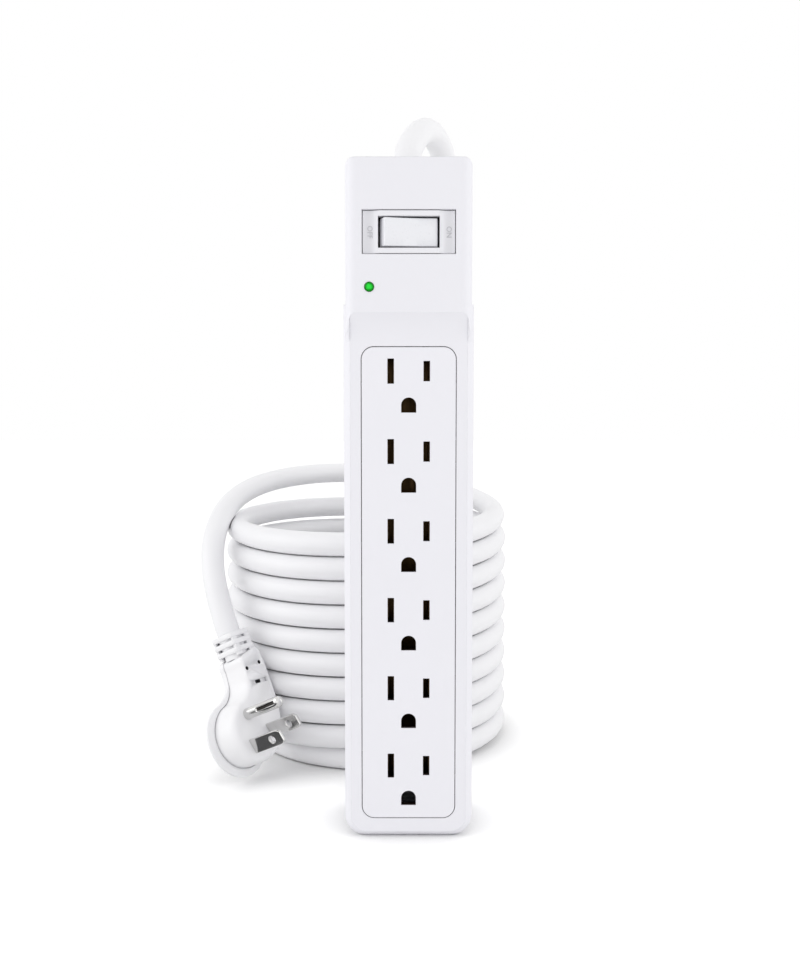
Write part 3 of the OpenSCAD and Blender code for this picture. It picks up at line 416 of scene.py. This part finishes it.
# Mesh helpers
def finishMesh(name, bm, materials, sharp=35, matrix=None):
    if matrix is not None:
        bm.transform(matrix)
    bmesh.ops.recalc_face_normals(bm, faces=bm.faces)
    mesh = bpy.data.meshes.new(name)
    bm.to_mesh(mesh)
    bm.free()
    for material in materials:
        mesh.materials.append(material)
    mesh.shade_smooth()
    mesh.set_sharp_from_angle(angle=math.radians(sharp))
    return link(bpy.data.objects.new(name, mesh))


def loft(bm, loops, capped=True):
    rings = [[bm.verts.new(Vector(p) * mm) for p in loop] for loop in loops]
    for low, high in zip(rings, rings[1:]):
        for i in range(len(low)):
            j = (i + 1) % len(low)
            bm.faces.new((low[i], low[j], high[j], high[i]))
    if capped:
        bm.faces.new(rings[0])
        bm.faces.new(rings[-1])
    return rings


def lathe(bm, profile, segments=48):
    loft(bm, [[(r * math.cos(2 * math.pi * i / segments), r * math.sin(2 * math.pi * i / segments), h)
               for i in range(segments)] for r, h in profile])


def carve(piece, cutter):
    cut = piece.modifiers.new("carve", "BOOLEAN")
    cut.operation = "DIFFERENCE"
    cut.solver = "EXACT"
    cut.material_mode = "TRANSFER"
    cut.object = cutter
    piece.data = bpy.data.meshes.new_from_object(piece.evaluated_get(bpy.context.evaluated_depsgraph_get()))
    piece.modifiers.clear()
    bpy.data.objects.remove(cutter)


def register(piece, body, slot, *stands):
    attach(piece, body)
    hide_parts(*stands)
    return piece


# Rocker: dished cap with drafted ends, turned about its axle to the resting side
rockerSet = {"axle": (0, -11.7352, 216), "tilt": 7, "half": 9.45, "knee": (10.15, 2.6), "skirt": 10.35,
             "rise": 5.6, "dish": 0.5, "foot": 0.7, "height": 9.7, "round": 0.5, "flat": 0.6, "draft": 0.35,
             "corner": [(0.0, 0.62), (0.06, 0.36), (0.2, 0.14), (0.42, 0.02)], "steps": 18, "rings": 5,
             "even": 0.2, "crowd": 0.6, "waist": 0.3}


def rockerLoops():
    s = rockerSet
    steps, rings, inner = s["steps"], s["rings"], s["half"] - s["flat"]
    loops = []
    for k in range(-rings, rings + 1):
        share = abs(k) / rings
        bend = math.asin(max(0, (share - s["even"]) / (1 - s["even"])))
        rise = s["round"] * (1 - math.cos(bend))
        z = math.copysign(s["height"] / 2 - s["round"] * (1 - share) * s["crowd"], k) if k else 0
        if abs(k) == 1:
            z *= s["waist"]
        right = [(s["half"] - x, s["rise"] - h) for x, h in s["corner"]]
        top = [inner - 2 * inner * i / steps for i in range(steps + 1)]
        face = [(x, s["rise"] - s["dish"] * (1 - (x / inner) ** 2)) for x in top]
        left = [(-x, h) for x, h in reversed(right)]
        ends = [(s["skirt"], s["foot"]), s["knee"]]
        shape = ends + right + face + left + [(-x, h) for x, h in reversed(ends)]
        narrow = 1 - s["draft"] * rise / s["half"]
        loops.append([(x * narrow, -(h - rise) if h > 1 else -h, z) for x, h in shape])
    return loops


rockerMesh = bmesh.new()
loft(rockerMesh, rockerLoops())
rockerFrame = Matrix.Translation(Vector(rockerSet["axle"]) * mm) @ Matrix.Rotation(
    math.radians(rockerSet["tilt"]), 4, "Z")
rockerPiece = finishMesh("rockerCap", rockerMesh, [made["rocker"]], 40, rockerFrame)
register(rockerPiece, "rocker_assembly", "rocker_white", "rocker")

# Indicator lens: low dome over a light pipe, lit from its middle
lensSet = {"middle": (-13.8, -17.5, 197.1), "radius": 1.62, "lit": 0.8,
           "glow": 0.55, "rough": 0.15, "gloss": 0.15,
           "body": ((0.012, 0.45, 0.03, 1), (0.0, 0.15, 0.004, 1)),
           "light": ((0.02, 0.6, 0.04, 1), (0.0, 0.12, 0.0, 1)),
           "profile": [(1.1, -6.2), (1.1, -3.2), (2.5, -3.1), (2.5, -2.25), (1.62, -2.2), (1.62, 0.02),
                       (1.56, 0.2), (1.36, 0.36), (1.0, 0.47), (0.55, 0.53), (0.15, 0.55)]}
lensLook = bpy.data.materials.new("lensGreen")
lensLook.use_nodes = True
lensTree = lensLook.node_tree
lensShader = lensTree.nodes["Principled BSDF"]
for key, socket, share in (("body", "Base Color", 1), ("light", "Emission Color", lensSet["lit"])):
    core, rim = lensSet[key]
    glow = effect(lensTree, "roundGlow", {"Core": core, "Rim": rim,
                                          "Middle": tuple(Vector(lensSet["middle"]) * mm),
                                          "Radius": lensSet["radius"] * mm * share})
    lensTree.links.new(glow["Colour"], lensShader.inputs[socket])
lensShader.inputs["Emission Strength"].default_value = lensSet["glow"]
lensShader.inputs["Roughness"].default_value = lensSet["rough"]
lensShader.inputs["Specular IOR Level"].default_value = lensSet["gloss"]
lensMesh = bmesh.new()
lathe(lensMesh, lensSet["profile"], 40)
lensPiece = finishMesh("indicatorLens", lensMesh, [lensLook], 30, Matrix.Translation(
    Vector(lensSet["middle"]) * mm) @ Matrix.Rotation(math.radians(90), 4, "X"))
register(lensPiece, "strip", "lens_green", "indicator_lens")

# Boot: tapered, with ring grooves, around the cord where it leaves the housing
bootSet = {"base": 6.8, "tip": 5.2, "rings": 4, "plain": 5.0, "groove": 0.7, "cord": 4.9, "edge": 0.3,
           "end": [(0, 0.5), (0.03, 0.02)],
           "flange": [(4.6, -6.8), (4.6, -3.8), (7.2, -3.7), (7.2, -2.3), (6.0, -2.2), (6.0, -0.1)],
           "ring": [(0.5, 0), (0.58, 0.15), (0.66, 1), (0.84, 1), (0.92, 0.15), (1.0, 0)]}


def bootProfile():
    s, length = bootSet, exitSet["length"]
    profile = s["flange"] + [(s["base"] - s["edge"], 0.0), (s["base"], s["edge"])]
    for k in range(s["rings"]):
        for share, dip in s["ring"]:
            h = s["edge"] + (length - s["plain"]) * (k + share) / s["rings"]
            r = s["base"] + (s["tip"] - s["base"]) * h / length
            profile.append((r - s["groove"] * dip, h))
    return profile + [(s["tip"] - r, length - h) for r, h in s["end"]] + [(s["cord"], length)]


bootMesh = bmesh.new()
lathe(bootMesh, bootProfile(), 48)
bootPiece = finishMesh("cordBoot", bootMesh, [made["boot"]], 50, Matrix.Translation(
    Vector(exitSet["middle"]) * mm) @ Matrix.Rotation(math.radians(-exitSet["tilt"]), 4, "X"))
register(bootPiece, "strip", "cord_white", "cord_grommet")

# Case screws: pan heads with a cross recess, deep in the back's counterbores
screwSet = {"head": 2.8, "rise": 2.2, "shank": 1.3, "core": 0.95, "long": 12.5, "threads": 11, "seat": 4.5,
            "point": 1.2, "tip": 0.15, "plain": 1.3, "thread": (0.3, 0.6, 0.9), "neck": 0.8,
            "edge": (0.1, 0.15), "dome": 1.1, "crown": 0.9, "bends": (0, 25, 50, 70, 90), "middle": 0.2,
            "places": [(18.3, 13), (18.3, 97.35), (17.6, 226.5)],
            "turned": 17, "cross": (3.2, 0.75, 1.3), "taper": (0.7, 1.1), "over": 0.4}


def screwMesh():
    s = screwSet
    step = (s["long"] - s["point"] - s["plain"]) / s["threads"]
    profile = [(s["tip"], -s["long"]), (s["core"], s["point"] - s["long"])]
    for k in range(s["threads"]):
        h = s["point"] - s["long"] + k * step
        profile += [(r, h + share * step) for r, share in
                    zip((s["core"], s["shank"], s["core"]), s["thread"])]
    edgeIn, edgeUp = s["edge"]
    profile += [(s["shank"], -s["neck"]), (s["shank"], 0), (s["head"] - edgeIn, 0), (s["head"], edgeUp)]
    for a in [math.radians(v) for v in s["bends"]]:
        profile.append((s["head"] - s["crown"] * (1 - math.cos(a)),
                        s["rise"] - s["dome"] * (1 - math.sin(a))))
    profile.append((s["middle"], s["rise"]))
    bm = bmesh.new()
    lathe(bm, profile, 32)
    long, wide, deep = s["cross"]
    cutter = bmesh.new()
    for x, y in ((long, wide), (wide, long)):
        loft(cutter, [[(sx * x * share / 2, sy * y * share / 2, h) for sx, sy in
                       ((-1, -1), (1, -1), (1, 1), (-1, 1))]
                      for share, h in zip(s["taper"], (s["rise"] - deep, s["rise"] + s["over"]))])
    # The cross recess walls take the near-black groove material, painted shade
    single = finishMesh("caseScrew", bm, [made["steel"], made["groove"]], 35)
    carve(single, finishMesh("cross", cutter, [made["groove"]], 35))
    mesh = single.data
    bpy.data.objects.remove(single)
    return mesh


screwOne = screwMesh()
screwAll = bmesh.new()
for side in (-1, 1):
    for x, z in screwSet["places"]:
        copy = screwOne.copy()
        copy.transform(Matrix.Translation(Vector((side * x, screwSet["seat"], z)) * mm)
                       @ Matrix.Rotation(math.radians(-90), 4, "X")
                       @ Matrix.Rotation(math.radians(side * screwSet["turned"] + z), 4, "Z"))
        screwAll.from_mesh(copy)
        bpy.data.meshes.remove(copy)
screwPiece = finishMesh("caseScrews", screwAll, [made["steel"], made["groove"]], 35)
register(screwPiece, "strip", "steel", "housing_screws")

# Switch marks: thin letters that follow the hollow ends of the bezel
markSet = {"size": 2.5, "thick": 0.12, "hollow": (14.05, -25.5, 9.0), "height": 216,
           "words": {"OFF": -13.6, "ON": 13.9}}


def markPiece(word, x):
    s = markSet
    text = bpy.data.curves.new("mark" + word, "FONT")
    text.body = word
    text.size = s["size"] * mm
    text.align_x = "CENTER"
    text.align_y = "CENTER"
    text.extrude = s["thick"] * mm
    shape = link(bpy.data.objects.new("shape", text))
    mesh = bpy.data.meshes.new_from_object(shape.evaluated_get(bpy.context.evaluated_depsgraph_get()))
    bpy.data.objects.remove(shape)
    for v in mesh.vertices:
        across, up, proud = x + v.co.y / mm, s["height"] - v.co.x / mm, v.co.z / mm
        cx, cy, r = s["hollow"]
        bed = cy + math.sqrt(r * r - (abs(across) - cx) ** 2)
        v.co = Vector((across, bed - proud, up)) * mm
    mesh.materials.clear()
    mesh.materials.append(made["mark"])
    piece = link(bpy.data.objects.new("mark" + word, mesh))
    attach(piece, "strip")


for word, x in markSet["words"].items():
    markPiece(word, x)
print("switch, lens and boot made")

# Plug body: round face with a neck, a lip at its back and a ribbed relief
plugForm = {
    "disc": (0.5, 4.15), "radius": 14.6,
    "right": [(25.5, 30.4), (25.2, 27.5), (24.8, 24), (23.7, 17), (22.0, 11), (19.6, 5), (16.9, 0.2)],
    "arc": (-34, -262), "left": [(2.4, 18.9), (6.2, 20.4), (9.0, 22.8), (10.7, 26), (11.8, 28.8)],
    "top": [(12.3, 31.0), (13.3, 32.5), (15.0, 33), (18.9, 33.1), (22.8, 33), (24.5, 32.4)],
    "levels": [(-14.2, -1.2), (-13.9, 0.2), (-13.3, 1.1), (-12.7, 1.6), (-11.7, 1.6), (-11.3, 1.2),
               (-11.1, 0.2), (-11.05, -0.8), (-11.15, -0.95), (-11.35, -1.0), (-11.35, -1.25),
               (-11.0, -1.35), (-10, -1.35), (-6, -1.4), (-3.4, -1.5),
               (-2.0, -1.8), (-1.0, -2.4), (-0.4, -3.1), (-0.1, -3.9), (0, -4.8)],
    "holes": [(13.4, 27.0, 0.85), (21.6, 25.7, 0.85)], "slot": (16.2, 19.3, 9.6, 1.9, -18.5),
    "slotDeep": -1.2, "pocket": (3.0, 1.5), "pocketDeep": -3.0, "holeDeep": -3.2, "over": 0.5,
    "neckFrom": 15, "neckOver": 11, "neckLess": 0.75, "arcSteps": 22, "spanSteps": 4,
    "sideLeast": 0.35, "sideTurn": 0.6, "lipLeast": 0.6, "lipTurn": 0.5,
}


def plugOutline():
    s = plugForm
    cx, cy = s["disc"]
    a, b = [math.radians(v) for v in s["arc"]]
    angles = [a + (b - a) * i / s["arcSteps"] for i in range(s["arcSteps"] + 1)]
    arc = [(cx + s["radius"] * math.cos(v), cy + s["radius"] * math.sin(v)) for v in angles]
    corners = [Vector(p).to_3d() for p in s["right"] + arc + s["left"] + s["top"]]
    ring = through(corners[-2:] + corners + corners[:2], s["spanSteps"])
    return [p.to_2d() for p in ring[s["spanSteps"] + 1:-2]]


def grown(line, amount):
    s, count = plugForm, len(line)
    loop = []
    for i, p in enumerate(line):
        along = (line[(i + 1) % count] - line[i - 1]).normalized()
        out = Vector((-along.y, along.x))
        neck = ease((p.y - s["neckFrom"]) / s["neckOver"])
        side = s["sideLeast"] + (1 - s["sideLeast"]) * ease(0.5 - s["sideTurn"] * out.x)
        lip = (1 - neck) * (s["lipLeast"] + ease(0.5 - s["lipTurn"] * out.x))
        loop.append(p + out * amount * (lip if amount > 0 else (1 - s["neckLess"] * neck) * side))
    return loop


plugLine = plugOutline()
plugMesh = bmesh.new()
loft(plugMesh, [[(p.x, p.y, z) for p in grown(plugLine, amount)] for z, amount in plugForm["levels"]])
plugPiece = finishMesh("plugBody", plugMesh, [made["plug"]], 40, plugFrame)
slotX, slotY, slotLong, slotWide, slotLean = plugForm["slot"]
slotTurn = Matrix.Rotation(math.radians(slotLean), 2)


def slotLoops(long, wide, deep):
    ring = [Vector((slotX, slotY)) + slotTurn @ Vector((sx * long / 2, sy * wide / 2))
            for sx, sy in ((-1, -1), (1, -1), (1, 1), (-1, 1))]
    return [[(p.x, p.y, z) for p in ring] for z in (deep, plugForm["over"])]


slotCutter = bmesh.new()
loft(slotCutter, slotLoops(slotLong, slotWide, plugForm["slotDeep"]))
carve(plugPiece, finishMesh("slotCutter", slotCutter, [made["plug"]], 35, plugFrame))
# The hole and pocket walls take the near-black recess colour, painted shade
holeCutter = bmesh.new()
for x, y, r in plugForm["holes"]:
    loft(holeCutter, [[(x + r * math.cos(a * math.pi / 12), y + r * math.sin(a * math.pi / 12), z)
                       for a in range(24)] for z in (plugForm["holeDeep"], plugForm["over"])])
loft(holeCutter, slotLoops(*plugForm["pocket"], plugForm["pocketDeep"]))
carve(plugPiece, finishMesh("holeCutter", holeCutter, [made["recess"]], 35, plugFrame))

# Relief: rounded square rings on a core, joined by short bars
reliefSet = {"half": (6.0, 6.5), "rings": 3, "core": 5.3, "round": 1.6, "bar": (1.3, 0.7),
             "barsAt": (0.62, 1.1), "ring": (0.26, 0.94), "edge": [(0, 0.5), (0.12, 0.12), (0.35, 0)],
             "root": -1.5, "sunk": 0.3}


def roundedSquare(hx, hz, r, y):
    loop = []
    for sx, sz, start in ((1, 1, 0), (-1, 1, 90), (-1, -1, 180), (1, -1, 270)):
        for i in range(6):
            a = math.radians(start + 18 * i)
            loop.append((sx * (hx - r) + r * math.cos(a), y, sz * (hz - r) + r * math.sin(a)))
    return loop


reliefMesh = bmesh.new()
step = plugSet["relief"] / reliefSet["rings"]
hx, hz = reliefSet["half"]
core, (barX, barZ), (barAcross, barIn) = reliefSet["core"], reliefSet["bar"], reliefSet["barsAt"]
loft(reliefMesh, [[(core * math.cos(a * math.pi / 16), y, core * math.sin(a * math.pi / 16))
                   for a in range(32)] for y in (reliefSet["root"], plugSet["relief"])])
for k in range(reliefSet["rings"]):
    low, high = [(k + share) * step for share in reliefSet["ring"]]
    edges = [(low + y, d) for y, d in reliefSet["edge"]]
    edges += [(high - y, d) for y, d in reversed(reliefSet["edge"])]
    loft(reliefMesh, [roundedSquare(hx - d, hz - d, reliefSet["round"], y) for y, d in edges])
    for sx, sz in ((1, 1), (-1, 1), (1, -1), (-1, -1)):
        loft(reliefMesh, [[(sx * barAcross * hx + px * barX, y, sz * (hz - barIn) + pz * barZ)
                           for px, pz in ((-1, -1), (1, -1), (1, 1), (-1, 1))]
                          for y in (k * step - reliefSet["sunk"], low + reliefSet["sunk"])])
reliefPlace = plugFrame @ Matrix.Translation(Vector((*plugSet["neckEnd"], -plugSet["thick"] / 2)) * mm) \
    @ Matrix.Rotation(math.radians(-plugSet["lean"]), 4, "Z")
reliefPiece = finishMesh("plugRelief", reliefMesh, [made["relief"]], 45, reliefPlace)
register(plugPiece, "strip", "cord_white", "plug_body")
register(reliefPiece, "strip", "cord_white", "plug_body")

# Blades: stamped strips with coined tips and a hole; pin: folded sheet with a groove
bladeSet = {"thick": 1.5, "wide": 6.35, "long": 17, "hole": 1.6, "reach": 11.6, "gap": 6.35, "edge": 0.22,
            "coined": [(0, 2.2), (0.25, 1.1)], "nose": 1.0}
pinSet = {"middle": (0, 11.9), "radius": 2.4, "long": 20.5, "groove": 1.0, "side": 158, "width": 21,
          "start": 7.0, "enter": (0, 0.5, 1), "row": 12, "shoulder": 0.4, "bottom": 0.55, "runOut": 1.2,
          "grooveShade": {"after": 0.5, "before": 3.4, "under": 0.35}, "round": (0, 18, 36, 52, 66, 78, 86)}


def bladePiece(name, side, node):
    s = bladeSet
    curve = bpy.data.curves.new(name, "CURVE")
    curve.dimensions = "2D"
    curve.fill_mode = "BOTH"
    curve.extrude = (s["thick"] / 2 - s["edge"]) * mm
    curve.bevel_depth = s["edge"] * mm
    curve.bevel_resolution = 2
    w, e = s["wide"] / 2 - s["edge"], s["edge"]
    right = [(w, e)] + [(w - x, s["long"] - y) for x, y in s["coined"]] + [(w - s["nose"], s["long"] - e)]
    outline = [(-w, e)] + right + [(-x, y) for x, y in reversed(right[1:])]
    hole = []
    for a in range(32):
        turn = a * math.pi / 16
        hole.append(((s["hole"] + e) * math.cos(turn), s["reach"] + (s["hole"] + e) * math.sin(turn)))
    for ring in (outline, hole):
        spline = curve.splines.new("POLY")
        spline.points.add(len(ring) - 1)
        for target, p in zip(spline.points, ring):
            target.co = (p[0] * mm, p[1] * mm, 0, 1)
        spline.use_cyclic_u = True
    shape = link(bpy.data.objects.new(name, curve))
    mesh = bpy.data.meshes.new_from_object(shape.evaluated_get(bpy.context.evaluated_depsgraph_get()))
    bpy.data.objects.remove(shape)
    upright = Matrix(((0, 0, 1, side * s["gap"] * mm), (1, 0, 0, 0), (0, 1, 0, 0), (0, 0, 0, 1)))
    mesh.transform(plugFrame @ upright)
    mesh.materials.clear()
    mesh.materials.append(made["nickel"])
    piece = link(bpy.data.objects.new(name, mesh))
    mesh.shade_smooth()
    mesh.set_sharp_from_angle(angle=math.radians(30))
    return register(piece, "strip", "blade_nickel", node)


lineBlade = bladePiece("lineBlade", -1, "plug_line_blade")
neutralBlade = bladePiece("neutralBlade", 1, "plug_neutral_blade")


def pinLoops():
    s = pinSet
    r = s["radius"]
    start, tip = s["start"], s["long"] - r
    rows = [0, 1] + [start + h for h in s["enter"]] + [s["row"], tip - s["shoulder"]]
    heights = [(r, h) for h in rows]
    heights += [(r * math.cos(a), tip + r * math.sin(a)) for a in [math.radians(v) for v in s["round"]]]
    loops = []
    for radius, h in heights:
        loop = []
        for i in range(72):
            angle = 5 * i
            off = abs((angle - s["side"] + 180) % 360 - 180)
            dip = s["groove"] * (1 - ease((off / s["width"] - s["bottom"]) / (1 - s["bottom"])))
            dip *= min(1, max(0, (tip - h) / s["runOut"])) * ease(h - start)
            a, reach = math.radians(angle), radius - dip
            loop.append((s["middle"][0] + reach * math.cos(a), s["middle"][1] + reach * math.sin(a), h))
        loops.append(loop)
    return loops


pinMesh = bmesh.new()
loft(pinMesh, pinLoops())
# Painted shade: faces deep in the pin's groove take the near-black groove material
grooveShade = pinSet["grooveShade"]
for face in pinMesh.faces:
    middle = face.calc_center_median() / mm
    off = middle.to_2d() - Vector(pinSet["middle"])
    inside = pinSet["start"] + grooveShade["after"] < middle.z < pinSet["long"] - grooveShade["before"]
    if inside and off.length < pinSet["radius"] - grooveShade["under"] and len(face.verts) == 4:
        face.material_index = 1
pinPiece = finishMesh("groundPin", pinMesh, [made["nickel"], made["groove"]], 40, plugFrame)
register(pinPiece, "strip", "blade_nickel", "plug_ground_pin")
print("plug made")

# Studio: pale floor, white surroundings and broad soft lamps
studioSet = {"ambient": 0.8, "paper": (0.92, 0.92, 0.92), "paperRough": 0.9, "paperGloss": 0.1,
             "floor": ((-6, -3), (6, 9)), "lift": 0.38,
             "contact": 0.028, "open": (0.48, 0.96), "card": ((-0.2, -0.12), (-0.072, 0.06)),
             "cardHeight": 0.0002, "aim": (0, 0.07, 0.12),
             "lamps": {"leftLamp": ((-1.1, -0.3, 0.6), 1.0, 3.6),
                       "rightLamp": ((1.1, -0.3, 0.55), 1.0, 3.0),
                       "frontLamp": ((-0.35, -1.4, 0.35), 1.0, 0.8),
                       "topLamp": ((0.0, 0.15, 1.5), 1.2, 0.1),
                       "rearLamp": ((0.2, 1.3, 0.9), 1.0, 0.2)}}


def sheet(name, corners, height):
    (x0, y0), (x1, y1) = corners
    mesh = bpy.data.meshes.new(name)
    mesh.from_pydata([(x0, y0, height), (x1, y0, height), (x1, y1, height), (x0, y1, height)], [],
                     [(0, 1, 2, 3)])
    return link(bpy.data.objects.new(name, mesh))


world = bpy.data.worlds.new("studio")
scene.world = world
world.use_nodes = True
sky = world.node_tree
back = sky.nodes["Background"]
back.inputs["Color"].default_value = (1, 1, 1, 1)
ray = put(sky, "LightPath").outputs
seen = put(sky, "Math", {0: ray["Is Camera Ray"], 1: ray["Is Glossy Ray"]}, operation="MAXIMUM").outputs[0]
seen = put(sky, "Math", {0: seen, 1: ray["Is Transmission Ray"]}, operation="MAXIMUM").outputs[0]
sky.links.new(ranged(sky, seen, 0, 1, studioSet["ambient"], 1.0), back.inputs["Strength"])

floor = sheet("floor", studioSet["floor"], 0)
paper = bpy.data.materials.new("floorPaper")
paper.use_nodes = True
paperTree = paper.node_tree
paperShader = paperTree.nodes["Principled BSDF"]
paperShader.inputs["Base Color"].default_value = (*studioSet["paper"], 1)
paperShader.inputs["Roughness"].default_value = studioSet["paperRough"]
paperShader.inputs["Specular IOR Level"].default_value = studioSet["paperGloss"]
paperRay = put(paperTree, "LightPath").outputs["Is Camera Ray"]
# Painted shadow: the floor's glow for camera rays fades out near objects by ambient occlusion, keeping
# their contact shadows dark
paperOpen = put(paperTree, "AmbientOcclusion", {"Distance": studioSet["contact"]}, samples=8).outputs["AO"]
paperLift = ranged(paperTree, paperOpen, *studioSet["open"], 0.0, studioSet["lift"])
paperShader.inputs["Emission Color"].default_value = (1, 1, 1, 1)
paperGlow = put(paperTree, "Math", {0: paperRay, 1: paperLift}, operation="MULTIPLY").outputs[0]
paperTree.links.new(paperGlow, paperShader.inputs["Emission Strength"])
floor.data.materials.append(paper)

# Dark card beside the plug, seen only by the polished metal
card = sheet("darkCard", studioSet["card"], studioSet["cardHeight"])
card.visible_camera = card.visible_diffuse = card.visible_shadow = card.visible_transmission = False
card.data.materials.append(made["switchBlack"])

for name, (place, size, power) in studioSet["lamps"].items():
    lamp = link(bpy.data.objects.new(name, bpy.data.lights.new(name, "AREA")))
    lamp.data.size = size
    lamp.data.energy = power
    lamp.location = place
    lamp.rotation_euler = (Vector(studioSet["aim"]) - Vector(place)).to_track_quat("-Z", "Y").to_euler()
print("studio lit")

bpy.context.view_layer.update()
